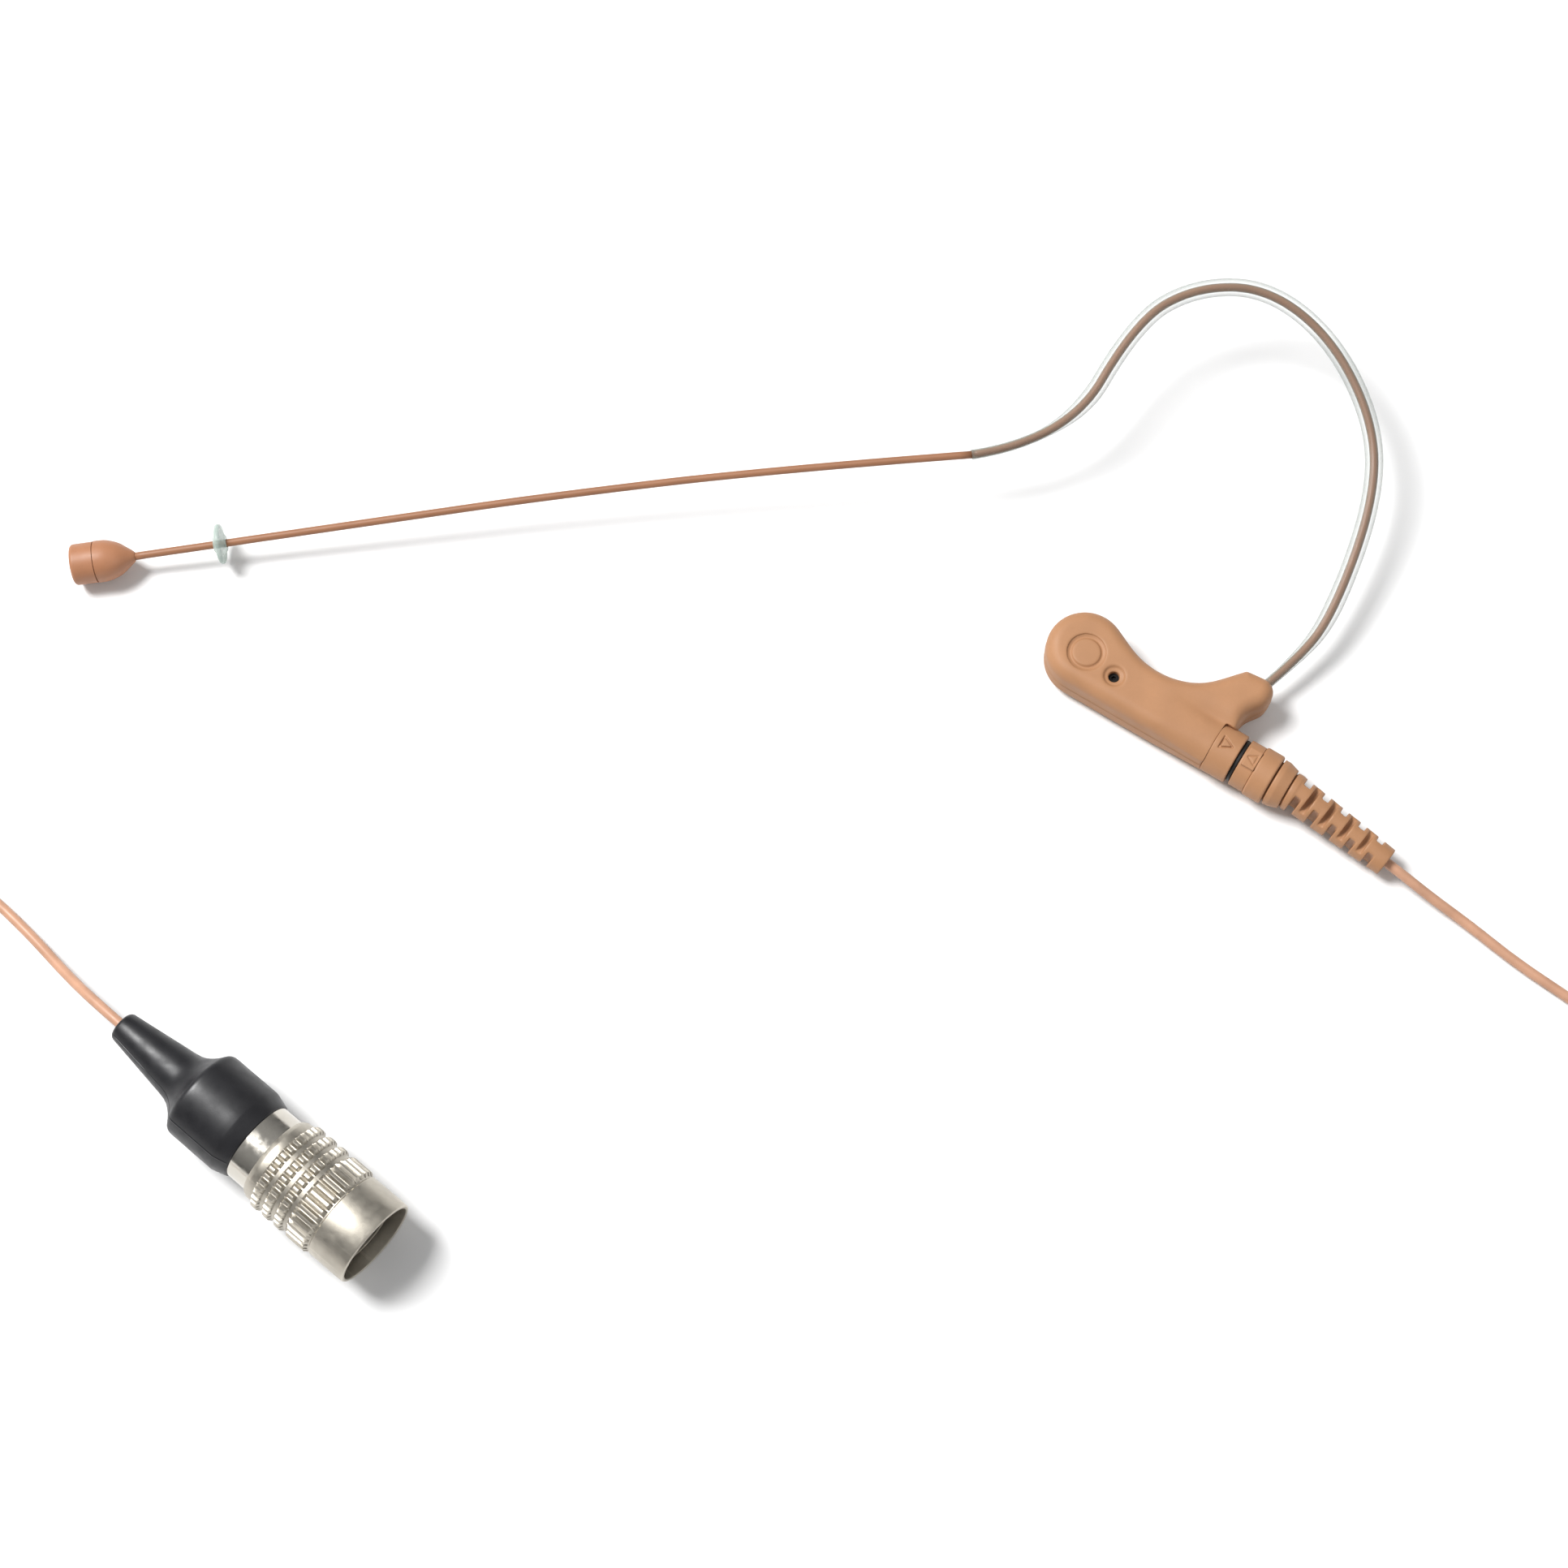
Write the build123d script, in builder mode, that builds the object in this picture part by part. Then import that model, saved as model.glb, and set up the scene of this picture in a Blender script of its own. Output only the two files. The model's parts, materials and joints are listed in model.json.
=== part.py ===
"""Headset microphone: ear piece, springy ear hook, boom, tiny capsule, plug-in cable and its connector.

The whole set lies on a flat surface at z = 0. X runs along the boom towards the ear hook, Y across the
surface, Z up. The origin is on the ear piece's flat resting face, in the middle of its round end.
All lengths are in millimetres.
"""
from build123d import *
import math
import os

# ---------------------------------------------------------------- driving dimensions
RUNNING = 0.05            # radial clearance where one piece slides on another
FIT = 0.02                # radial clearance between pieces that are glued or pressed

# ear piece
EAR_TURN = -32.0          # direction of the ear piece's length, degrees from X
EAR_THICK = 6.7
EAR_HEAD_R = 4.95         # round end of the ear piece
EAR_WALL = 1.2
EAR_SOFT_EDGE = 1.7       # rounding of the moulded edges
COVER_X, COVER_Y, COVER_R = 0.4, -0.7, 2.4
DISC_R = 1.9              # raised middle of the cover disc
SCREW_X, SCREW_Y = 4.9, -1.6
SCREW_HOLE_R, SCREW_DISH_R = 0.7, 1.45

# plug axis, in the ear piece's own plane
PLUG_T = -1.95            # how far the plug axis is from the round end's centre line
AXIS_Z = 3.35
COLLAR_START, COLLAR_END, COLLAR_R = 19.6, 22.9, 3.25
SOCKET_BORE_R = 2.25
SOCKET_SHELL_R = SOCKET_BORE_R + 0.35
PLUG_NOSE_R = SOCKET_BORE_R - RUNNING
PIN_R, PIN_PCD_R, PIN_COUNT = 0.25, 0.95, 3

# boom, hook and capsule
BOOM_R = 0.485
HOOK_R = 0.525
SLEEVE_R = 1.15
CAP_R = 2.6
HOUSING_R = 2.65
RING_R = 2.55

# cable
CABLE_D = 1.3
CABLE_R = CABLE_D / 2
TURNS = 17
COIL_MID_R = 7.15
COIL_X, COIL_Y = 73.5, -66.4
COIL_WIDE, COIL_HIGH = 6.9, 5.2
TIE_THICK = 0.5

# connector
CONN_TURN = -40.0         # direction from the boot's tip to the open front, degrees from X
CONN_TIP = (-116.6, -48.1, 6.0)
BOOT_R = 5.85
KNURL_R = 6.0
SLEEVE_FRONT_R = 5.75
SLEEVE_BORE_R = 5.25
FRONT_TUBE_R = 3.7
REAR_SHELL_R = 5.1
SLEEVE_START, SLEEVE_END = 24.9, 40.9
TEETH = 36


def direction(degrees, slope=0.0):
    """A unit vector in plan, tipped down by slope degrees."""
    a, s = math.radians(degrees), math.radians(slope)
    return Vector(math.cos(a) * math.cos(s), math.sin(a) * math.cos(s), -math.sin(s))


def frame_at(point, along):
    """A plane at a point whose Z runs along a direction and whose Y leans up."""
    side = Vector(0, 0, 1).cross(along).normalized()
    return Plane(origin=point, x_dir=side, z_dir=along)


def side_of(along):
    """The level direction square to another."""
    return along.cross(Vector(0, 0, 1)).normalized()


def route_radii(points):
    """The largest arc each corner of a route has room for: 0.45 of its shorter run."""
    radii = []
    for before, corner, after in zip(points, points[1:], points[2:]):
        first, second = Vector(*corner) - Vector(*before), Vector(*after) - Vector(*corner)
        half = math.radians(first.get_angle(second) / 2)
        radii.append(0.45 * min(first.length, second.length) / math.tan(half))
    return radii


def write(piece, label):
    """Name a finished piece and write its STEP file."""
    piece.part.label = label
    export_step(piece.part, f"parts/{label}.step")


os.makedirs("parts", exist_ok=True)

# ---------------------------------------------------------------- routes
# Ear hook wire, from the end of the boom, over the ear and down into the ear piece's boss.
HOOK_ROUTE = [
    (-13.9, 24.85, 8.65), (-2.0, 26.6, 9.15), (7.0, 41.7, 12.05), (14.4, 46.0, 12.85),
    (23.5, 46.0, 12.85), (31.6, 39.6, 11.65), (36.7, 28.8, 9.6), (36.5, 18.9, 7.7),
    (31.1, 4.9, 5.05), (26.5, -0.9, 3.85), (19.9, -6.2, 3.35),
]
# Boom, from the back of the capsule to the start of the hook: straight at first, then slightly bowed.
BOOM_ROUTE = [(-120.2, 13.23, 3.07), (-68.0, 20.27, 5.81), (-39.5, 23.32, 7.3), (-13.9, 24.85, 8.65)]
CAPSULE_FRONT = (-127.2, 12.25, 2.85)
CAPSULE_BACK = (-119.33, 13.35, 3.1)

# Cable from the plug to the coil, and from the coil round to the connector.
LEAD_ROUTE = [
    (33.9, -24.8, 2.55), (37.4, -27.5, 2.25), (41.6, -30.9, 1.6), (46.2, -34.2, 0.8),
    (52.0, -39.2, 0.66), (58.6, -43.9, 0.66), (67.6, -50.9, 0.75), (74.9, -55.6, 1.1),
    (79.1, -58.5, 1.3),
]
RUN_ROUTE = [
    (81.9, -71.7, 4.4), (78.3, -76.3, 4.0), (74.1, -82.8, 2.4), (71.6, -90.6, 0.7),
    (68.9, -102.2, 0.66), (61.5, -113.8, 0.66), (46.5, -119.3, 0.66), (21.0, -117.0, 0.66),
    (-9.0, -119.6, 0.66), (-38.0, -117.0, 0.66), (-68.0, -119.7, 0.66), (-97.0, -117.2, 0.66),
    (-122.0, -119.4, 0.66), (-137.5, -113.8, 0.66), (-143.3, -96.5, 0.66), (-144.1, -75.0, 0.66),
    (-145.5, -57.5, 0.66), (-147.4, -44.5, 0.66), (-147.3, -33.4, 0.66), (-143.0, -26.2, 0.66),
    (-136.0, -29.5, 0.66), (-129.9, -35.1, 0.75), (-124.2, -41.2, 2.8), (-119.5, -45.65, 5.75),
    (-114.3, -50.03, 6.0),
]

# ---------------------------------------------------------------- ear piece
EAR = Plane(origin=(0, 0, 0), x_dir=direction(EAR_TURN), z_dir=(0, 0, 1))


def ear_point(s, t, z):
    return EAR.from_local_coords(Vector(s, t, z))


PLUG_DIR = direction(EAR_TURN)


def plug_plane(s):
    """A plane across the plug axis, s along the ear piece."""
    return frame_at(ear_point(s, PLUG_T, AXIS_Z), PLUG_DIR)


WIRE_END = Vector(*HOOK_ROUTE[-1])
BOSS_DIR = (Vector(*HOOK_ROUTE[-2]) - WIRE_END).normalized()
CRIMP_R, CRIMP_LONG = 1.15, 2.5


BOSS_TOP, BOSS_EDGE = (18.4, 8.1), (20.8, 8.35)    # ends of the flat that the hook wire comes out of


def ear_outline():
    """Outline of the ear piece: round end, straight lower edge, waist and the boss for the hook."""
    head = math.radians(66)
    start = (EAR_HEAD_R * math.cos(head), EAR_HEAD_R * math.sin(head))
    low = (0, -EAR_HEAD_R)
    head_end = (math.sin(head), -math.cos(head))
    with BuildLine() as line:
        Line((COLLAR_START + 1.5, -EAR_HEAD_R), low)
        ThreePointArc(low, (-EAR_HEAD_R, 0), start)
        Spline(start, (5.4, 2.95), (9.6, 2.25), (13.9, 3.5), BOSS_TOP, tangents=(head_end, (0.66, 0.75)))
        Line(BOSS_TOP, BOSS_EDGE)
        TangentArc(BOSS_EDGE, (22.75, 6.2), tangent=(BOSS_EDGE[0] - BOSS_TOP[0], BOSS_EDGE[1] - BOSS_TOP[1]))
        Spline((22.75, 6.2), (21.9, 4.2), (COLLAR_START + 1.5, 2.0), tangents=((0, -1), (0, -1)))
        Line((COLLAR_START + 1.5, 2.0), (COLLAR_START + 1.5, -EAR_HEAD_R))
    return line


def ear_solid(low, high):
    """The ear piece's soft-edged body between two heights, with its hollow and its bores."""
    outline = ear_outline()
    with BuildPart() as body:
        with BuildSketch(EAR):
            add(outline.line)
            make_face()
        extrude(amount=EAR_THICK)
        fillet([e for e in body.edges() if e.bounding_box().size.Z < 0.01], radius=EAR_SOFT_EDGE)
        # the collar takes the place of the corner below the boss
        with BuildSketch(EAR):
            with Locations((COLLAR_START + 5, 0.6)):
                Rectangle(10, 10, align=(Align.CENTER, Align.MAX))
        extrude(amount=EAR_THICK, mode=Mode.SUBTRACT)
        # hollow for the filter board and the leads
        with BuildSketch(EAR.offset(EAR_WALL)):
            with BuildLine():
                Polyline((-1.5, -3.7), (-3.4, -1.8), (-3.4, 1.8), (-1.5, 3.4), (1.5, 3.4), (4.5, 2.0),
                         (9.0, 1.2), (13.2, 1.6), (15.8, 3.2), (17.6, 4.8), (20.5, 5.0), (20.2, 2.4),
                         (18.6, 1.6), (18.6, -0.2), (13.6, -0.2), (13.6, -3.7), close=True)
            make_face()
        extrude(amount=EAR_THICK - 2 * EAR_WALL, mode=Mode.SUBTRACT)
        # bore for the socket shell, and the seat for the collar
        with BuildSketch(plug_plane(13.4)):
            Circle(SOCKET_SHELL_R + FIT)
        extrude(amount=12, mode=Mode.SUBTRACT)
        with BuildSketch(plug_plane(COLLAR_START)):
            Circle(COLLAR_R + FIT)
        extrude(amount=5, mode=Mode.SUBTRACT)
        # pocket for the crimp and hole for the hook wire
        with BuildSketch(Plane(origin=WIRE_END, z_dir=BOSS_DIR)):
            Circle(CRIMP_R + FIT)
        extrude(amount=CRIMP_LONG + FIT, mode=Mode.SUBTRACT)
        with BuildSketch(Plane(origin=WIRE_END, z_dir=BOSS_DIR)):
            Circle(HOOK_R + RUNNING)
        extrude(amount=8, mode=Mode.SUBTRACT)
        with BuildSketch(EAR.offset(low)):
            Rectangle(80, 80)
        extrude(amount=high - low, mode=Mode.INTERSECT)
    return body


SPLIT_Z = AXIS_Z
POST_R = 1.3
COVER_DEPTH = 0.75        # recess that the cover disc sits in
SCREW_TOP = EAR_THICK - 1.05

outer_body = ear_solid(SPLIT_Z, EAR_THICK)
with BuildPart() as ear_shell_outer:
    add(outer_body.part)
    with BuildSketch(EAR.offset(SPLIT_Z)):
        with Locations((COVER_X, COVER_Y), (SCREW_X, SCREW_Y)):
            Circle(POST_R)
    extrude(amount=EAR_THICK - SPLIT_Z - 0.8)
    with BuildSketch(EAR.offset(EAR_THICK)):
        with Locations((COVER_X, COVER_Y)):
            Circle(COVER_R)
    extrude(amount=-COVER_DEPTH, mode=Mode.SUBTRACT)
    with BuildSketch(EAR.offset(EAR_THICK)):
        with Locations((SCREW_X, SCREW_Y)):
            Circle(SCREW_DISH_R)
    extrude(amount=-0.35, taper=38, mode=Mode.SUBTRACT)
    with BuildSketch(EAR.offset(EAR_THICK)):
        with Locations((COVER_X, COVER_Y), (SCREW_X, SCREW_Y)):
            Circle(SCREW_HOLE_R)
    extrude(amount=SCREW_TOP - EAR_THICK - 0.6, mode=Mode.SUBTRACT)
    with BuildSketch(EAR.offset(EAR_THICK)):
        with Locations((COVER_X, COVER_Y), (SCREW_X, SCREW_Y)):
            Circle(0.47)
    extrude(amount=-6, mode=Mode.SUBTRACT)
write(ear_shell_outer, "ear_shell_outer")

inner_body = ear_solid(0, SPLIT_Z)
with BuildPart() as ear_shell_inner:
    add(inner_body.part)
    with BuildSketch(EAR.offset(0.8)):
        with Locations((COVER_X, COVER_Y), (SCREW_X, SCREW_Y)):
            Circle(POST_R)
    extrude(amount=SPLIT_Z - 0.8)
    with BuildSketch(EAR.offset(0.8)):
        with Locations((COVER_X, COVER_Y), (SCREW_X, SCREW_Y)):
            Circle(0.47)
    extrude(amount=5, mode=Mode.SUBTRACT)
write(ear_shell_inner, "ear_shell_inner")

with BuildPart() as ear_cover_disc:
    with BuildSketch(EAR.offset(EAR_THICK - COVER_DEPTH)):
        with Locations((COVER_X, COVER_Y)):
            Circle(COVER_R - RUNNING)
    extrude(amount=0.35)
    with BuildSketch(EAR.offset(EAR_THICK - COVER_DEPTH + 0.35)):
        with Locations((COVER_X, COVER_Y)):
            Circle(DISC_R)
    extrude(amount=0.32)
    top_rim = ear_cover_disc.edges().filter_by(GeomType.CIRCLE).sort_by(Axis.Z)[-1]
    fillet(top_rim, radius=0.12)
write(ear_cover_disc, "ear_cover_disc")

with BuildPart() as ear_shell_screws:
    with BuildSketch(EAR.offset(0.9)):
        with Locations((COVER_X, COVER_Y), (SCREW_X, SCREW_Y)):
            Circle(0.45)
    extrude(amount=SCREW_TOP - 0.6 - 0.9)
    with BuildSketch(EAR.offset(SCREW_TOP - 0.6)):
        with Locations((COVER_X, COVER_Y), (SCREW_X, SCREW_Y)):
            Circle(SCREW_HOLE_R - FIT)
    extrude(amount=0.6)
    with BuildSketch(EAR.offset(SCREW_TOP)):
        with Locations((COVER_X, COVER_Y), (SCREW_X, SCREW_Y)):
            RegularPolygon(0.32, 6)
    extrude(amount=-0.35, mode=Mode.SUBTRACT)
write(ear_shell_screws, "ear_shell_screws")

with BuildPart() as hook_crimp:
    with BuildSketch(Plane(origin=WIRE_END, z_dir=BOSS_DIR)):
        Circle(CRIMP_R)
        Circle(HOOK_R + FIT, mode=Mode.SUBTRACT)
    extrude(amount=CRIMP_LONG)
write(hook_crimp, "hook_crimp")

with BuildPart() as filter_board:
    with BuildSketch(EAR.offset(2.2)):
        with Locations((9.4, -1.4)):
            RectangleRounded(5.2, 4.2, 0.4)
    extrude(amount=0.6)
write(filter_board, "filter_board")

with BuildPart() as filter_components:
    for s, t, wide, deep, high in ((7.9, -2.2, 1.0, 0.5, 0.45), (7.9, -0.6, 1.0, 0.5, 0.45),
                                   (9.9, -1.4, 1.6, 1.6, 0.7)):
        with BuildSketch(EAR.offset(2.8)):
            with Locations((s, t)):
                Rectangle(wide, deep)
        extrude(amount=high)
write(filter_components, "filter_components")

with BuildPart() as ear_leads:
    for height in (3.05, 3.5, 3.95):
        path = [tuple(ear_point(s, t, height)) for s, t in
                ((19.8, 4.4), (18.6, 3.1), (16.6, 2.1), (14.0, 1.35), (11.6, -0.1))]
        with BuildLine() as lead_line:
            FilletPolyline(*path, radius=route_radii(path))
        with BuildSketch(Plane(origin=lead_line.line @ 0, z_dir=lead_line.line % 0)):
            Circle(0.16)
        sweep(path=lead_line.line)
write(ear_leads, "ear_leads")

# ---------------------------------------------------------------- socket in the ear piece
with BuildPart() as socket_shell:
    with BuildSketch(plug_plane(13.5)):
        Circle(SOCKET_SHELL_R)
        Circle(SOCKET_BORE_R, mode=Mode.SUBTRACT)
    extrude(amount=COLLAR_END - 13.5 - 0.15)
write(socket_shell, "socket_shell")

with BuildPart() as socket_insulator:
    with BuildSketch(plug_plane(13.8)):
        Circle(SOCKET_BORE_R - FIT)
        with PolarLocations(PIN_PCD_R, PIN_COUNT):
            Circle(PIN_R + RUNNING, mode=Mode.SUBTRACT)
    extrude(amount=4.4)
write(socket_insulator, "socket_insulator")

with BuildPart() as socket_contacts:
    with BuildSketch(plug_plane(12.6)):
        with PolarLocations(PIN_PCD_R, PIN_COUNT):
            Circle(PIN_R + RUNNING - FIT)
    extrude(amount=2.4)
write(socket_contacts, "socket_contacts")

with BuildPart() as socket_collar:
    with BuildSketch(plug_plane(COLLAR_START)):
        Circle(COLLAR_R)
        Circle(SOCKET_SHELL_R + FIT, mode=Mode.SUBTRACT)
    extrude(amount=COLLAR_END - COLLAR_START)
    front_rim = [e for e in socket_collar.edges().filter_by(GeomType.CIRCLE) if e.radius > 3
                 and (EAR.to_local_coords(e.arc_center).X > COLLAR_END - 0.1)]
    fillet(front_rim, radius=0.15)
    # engraved arrow outline on top, pointing at the plug
    with BuildSketch(EAR.offset(AXIS_Z + COLLAR_R)):
        with Locations((21.2, PLUG_T)):
            Polygon((-0.9, 1.0), (-0.9, -1.0), (0.95, 0), align=None)
            Polygon((-0.65, 0.62), (-0.65, -0.62), (0.5, 0), align=None, mode=Mode.SUBTRACT)
    extrude(amount=-0.3, mode=Mode.SUBTRACT)
write(socket_collar, "socket_collar")

# ---------------------------------------------------------------- plug on the cable
SEAL_LENGTH = 0.56
RING_START = COLLAR_END + SEAL_LENGTH + 0.04
RING_LONG, GRIP_LONG, NUT_LONG = 2.0, 2.5, 2.0
GRIP_START = RING_START + RING_LONG
NUT_START = GRIP_START + GRIP_LONG + 0.2
RELIEF_START = NUT_START + NUT_LONG + 0.2
RELIEF_BASE = 0.8
BOOT_START = RELIEF_START + RELIEF_BASE

with BuildPart() as plug_nose:
    with BuildSketch(plug_plane(18.5)):
        Circle(PLUG_NOSE_R)
        Circle(PLUG_NOSE_R - 0.4, mode=Mode.SUBTRACT)
    extrude(amount=GRIP_START + 1.5 - 18.5)
write(plug_nose, "plug_nose")

with BuildPart() as plug_insulator:
    with BuildSketch(plug_plane(18.7)):
        Circle(PLUG_NOSE_R - 0.4 - FIT)
        with PolarLocations(PIN_PCD_R, PIN_COUNT):
            Circle(PIN_R + FIT, mode=Mode.SUBTRACT)
    extrude(amount=5.4)
write(plug_insulator, "plug_insulator")

with BuildPart() as plug_pins:
    with BuildSketch(plug_plane(15.3)):
        with PolarLocations(PIN_PCD_R, PIN_COUNT):
            Circle(PIN_R)
    extrude(amount=10.2)
    tips = [e for e in plug_pins.edges().filter_by(GeomType.CIRCLE)
            if EAR.to_local_coords(e.arc_center).X < 15.4]
    chamfer(tips, length=0.1)
write(plug_pins, "plug_pins")

with BuildPart() as seal_ring:
    with BuildSketch(plug_plane(COLLAR_END + 0.02)):
        Circle(2.8)
        Circle(PLUG_NOSE_R + FIT, mode=Mode.SUBTRACT)
    extrude(amount=SEAL_LENGTH)
    fillet(seal_ring.edges().filter_by(GeomType.CIRCLE).sort_by(SortBy.RADIUS)[-2:], radius=0.2)
write(seal_ring, "seal_ring")

with BuildPart() as plug_ring:
    with BuildSketch(plug_plane(RING_START)):
        Circle(3.1)
        Circle(PLUG_NOSE_R + FIT, mode=Mode.SUBTRACT)
    extrude(amount=RING_LONG)
    # raised pad on top for the engraved arrow, which points at the socket
    with BuildSketch(EAR.offset(AXIS_Z + 2.4)):
        with Locations((RING_START + RING_LONG / 2 + 0.15, PLUG_T)):
            Rectangle(RING_LONG - 0.3, 2.6)
    extrude(amount=0.86)
    with BuildSketch(EAR.offset(AXIS_Z + 3.26)):
        with Locations((RING_START + RING_LONG / 2 + 0.1, PLUG_T)):
            Polygon((0.7, 0.85), (0.7, -0.85), (-0.75, 0), align=None)
            Polygon((0.48, 0.5), (0.48, -0.5), (-0.35, 0), align=None, mode=Mode.SUBTRACT)
    extrude(amount=-0.15, mode=Mode.SUBTRACT)
write(plug_ring, "plug_ring")

with BuildPart() as plug_grip:
    with BuildSketch(plug_plane(GRIP_START)):
        Circle(3.3)
        Circle(PLUG_NOSE_R + FIT, mode=Mode.SUBTRACT)
    extrude(amount=GRIP_LONG)
    outer = [e for e in plug_grip.edges().filter_by(GeomType.CIRCLE) if e.radius > 3]
    fillet(outer, radius=0.25)
write(plug_grip, "plug_grip")

with BuildPart() as plug_nut:
    with BuildSketch(plug_plane(NUT_START - 0.2)):
        Circle(2.6)
        Circle(1.9, mode=Mode.SUBTRACT)
    extrude(amount=0.2)
    with BuildSketch(plug_plane(NUT_START)):
        Circle(3.05)
        Circle(1.9, mode=Mode.SUBTRACT)
    extrude(amount=NUT_LONG)
    back = [e for e in plug_nut.edges().filter_by(GeomType.CIRCLE) if e.radius > 3
            and EAR.to_local_coords(e.arc_center).X > NUT_START + 1]
    chamfer(back, length=1.3, length2=0.4)
write(plug_nut, "plug_nut")

with BuildPart() as plug_crimp:
    with BuildSketch(plug_plane(NUT_START - 0.1)):
        Circle(1.9 - FIT)
        Circle(CABLE_R + FIT, mode=Mode.SUBTRACT)
    extrude(amount=1.9)
write(plug_crimp, "plug_crimp")

# bend relief: a base disc, then a segmented boot that bends a little further down
BOOT_TURN, BOOT_SLOPE = -38.0, 4.0
BOOT_BASE = ear_point(BOOT_START, PLUG_T, AXIS_Z)
BOOT_DIR = direction(BOOT_TURN, BOOT_SLOPE)
SEGMENTS, PITCH = 5, 2.78
BOOT_LONG = SEGMENTS * PITCH


def boot_plane(distance):
    return frame_at(BOOT_BASE + BOOT_DIR * distance, BOOT_DIR)


with BuildPart() as strain_relief:
    with BuildSketch(plug_plane(RELIEF_START - 0.2)):
        Circle(2.2)
    extrude(amount=0.3)
    with BuildSketch(plug_plane(RELIEF_START)):
        Circle(2.45)
    extrude(amount=RELIEF_BASE)
    with BuildSketch(boot_plane(-0.35)):
        Circle(2.37)
    with BuildSketch(boot_plane(BOOT_LONG)):
        Circle(1.85)
    loft()
    for k in range(SEGMENTS):
        # notches at both sides between the segments, slots above and below in their middles
        with BuildSketch(boot_plane(k * PITCH + 0.2)):
            with Locations((1.9, 0), (-1.9, 0)):
                Rectangle(2, 6)
        extrude(amount=0.9, mode=Mode.SUBTRACT)
        if k < SEGMENTS - 1:
            with BuildSketch(boot_plane(k * PITCH + 1.66)):
                with Locations((0, 1.95), (0, -1.95)):
                    Rectangle(6, 1.7)
            extrude(amount=0.75, mode=Mode.SUBTRACT)
    with BuildSketch(plug_plane(RELIEF_START - 0.5)):
        Circle(CABLE_R + 0.1)
    extrude(amount=1.2, mode=Mode.SUBTRACT)
    with BuildSketch(boot_plane(-0.6)):
        Circle(CABLE_R)
    extrude(amount=BOOT_LONG + 2, mode=Mode.SUBTRACT)
write(strain_relief, "strain_relief")

# ---------------------------------------------------------------- ear hook and boom


def rod(route, radius):
    """A round rod along a route of straight runs and tangent arcs."""
    with BuildPart() as piece:
        with BuildLine() as path:
            FilletPolyline(*route, radius=route_radii(route))
        with BuildSketch(Plane(origin=path.line @ 0, z_dir=path.line % 0)):
            Circle(radius)
        sweep(path=path.line)
    return piece


ear_hook_wire = rod(HOOK_ROUTE, HOOK_R)
write(ear_hook_wire, "ear_hook_wire")

# The thick part of the soft sleeve, from just after the first bend to just above the boss.
def along(corner, towards, distance):
    """A point on the run from one corner of the hook towards another."""
    return tuple(Vector(*corner) + (Vector(*towards) - Vector(*corner)).normalized() * distance)


SLEEVE_ROUTE = [along(HOOK_ROUTE[1], HOOK_ROUTE[2], 6.0), *HOOK_ROUTE[2:-2],
                along(HOOK_ROUTE[-2], HOOK_ROUTE[-3], 3.6)]
with BuildPart() as hook_sleeve:
    with BuildLine() as sleeve_path:
        FilletPolyline(*SLEEVE_ROUTE, radius=route_radii(HOOK_ROUTE)[1:-1])
    with BuildSketch(Plane(origin=sleeve_path.line @ 0, z_dir=sleeve_path.line % 0)):
        Circle(SLEEVE_R)
        Circle(HOOK_R + FIT, mode=Mode.SUBTRACT)
    sweep(path=sleeve_path.line)
write(hook_sleeve, "hook_sleeve")

boom_tube = rod(BOOM_ROUTE, BOOM_R)
write(boom_tube, "boom_tube")

# moisture stop ring, a soft disc, thicker at its hub, that can slide along the straight part of the boom
BOOM_DIR = (Vector(*BOOM_ROUTE[1]) - Vector(*BOOM_ROUTE[0])).normalized()
RING_FROM_START = 11.75
RING_AT = Vector(*BOOM_ROUTE[0]) + BOOM_DIR * RING_FROM_START
with BuildPart() as moisture_ring:
    with BuildSketch(Plane(origin=RING_AT, x_dir=side_of(BOOM_DIR), z_dir=side_of(BOOM_DIR).cross(BOOM_DIR))):
        with BuildLine():
            # radius along the sketch's X, boom direction along its Y
            inner = BOOM_R + RUNNING
            Polyline((inner, -0.8), (0.95, -0.8), (1.2, -0.62), (RING_R - 0.3, -0.36))
            ThreePointArc((RING_R - 0.3, -0.36), (RING_R, 0), (RING_R - 0.3, 0.36))
            Polyline((RING_R - 0.3, 0.36), (1.2, 0.62), (0.95, 0.8), (inner, 0.8), (inner, -0.8))
        make_face()
    revolve(axis=Axis(RING_AT, BOOM_DIR))
write(moisture_ring, "moisture_ring")

# ---------------------------------------------------------------- capsule
CAP_DIR = (Vector(*CAPSULE_BACK) - Vector(*CAPSULE_FRONT)).normalized()
CAP_LONG, SEAM = 2.9, 0.15
HOUSING_START = CAP_LONG + SEAM
HOUSING_LONG = (Vector(*CAPSULE_BACK) - Vector(*CAPSULE_FRONT)).length - HOUSING_START
SPIGOT_R = 2.25


def cap_plane(distance):
    """A plane across the capsule's axis, a distance behind its front."""
    return frame_at(Vector(*CAPSULE_FRONT) + CAP_DIR * distance, CAP_DIR)


with BuildPart() as capsule_cap:
    with BuildSketch(cap_plane(0)):
        Circle(CAP_R)
    extrude(amount=CAP_LONG)
    fillet(capsule_cap.edges().filter_by(GeomType.CIRCLE).sort_by(Axis.X)[0], radius=0.45)
    with BuildSketch(cap_plane(0.5)):
        Circle(SPIGOT_R + RUNNING)
    extrude(amount=CAP_LONG, mode=Mode.SUBTRACT)
    with BuildSketch(cap_plane(-0.5)):
        Circle(0.3)
        with PolarLocations(0.85, 6):
            Circle(0.3)
        with PolarLocations(1.6, 12):
            Circle(0.25)
    extrude(amount=1.5, mode=Mode.SUBTRACT)
write(capsule_cap, "capsule_cap")

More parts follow.
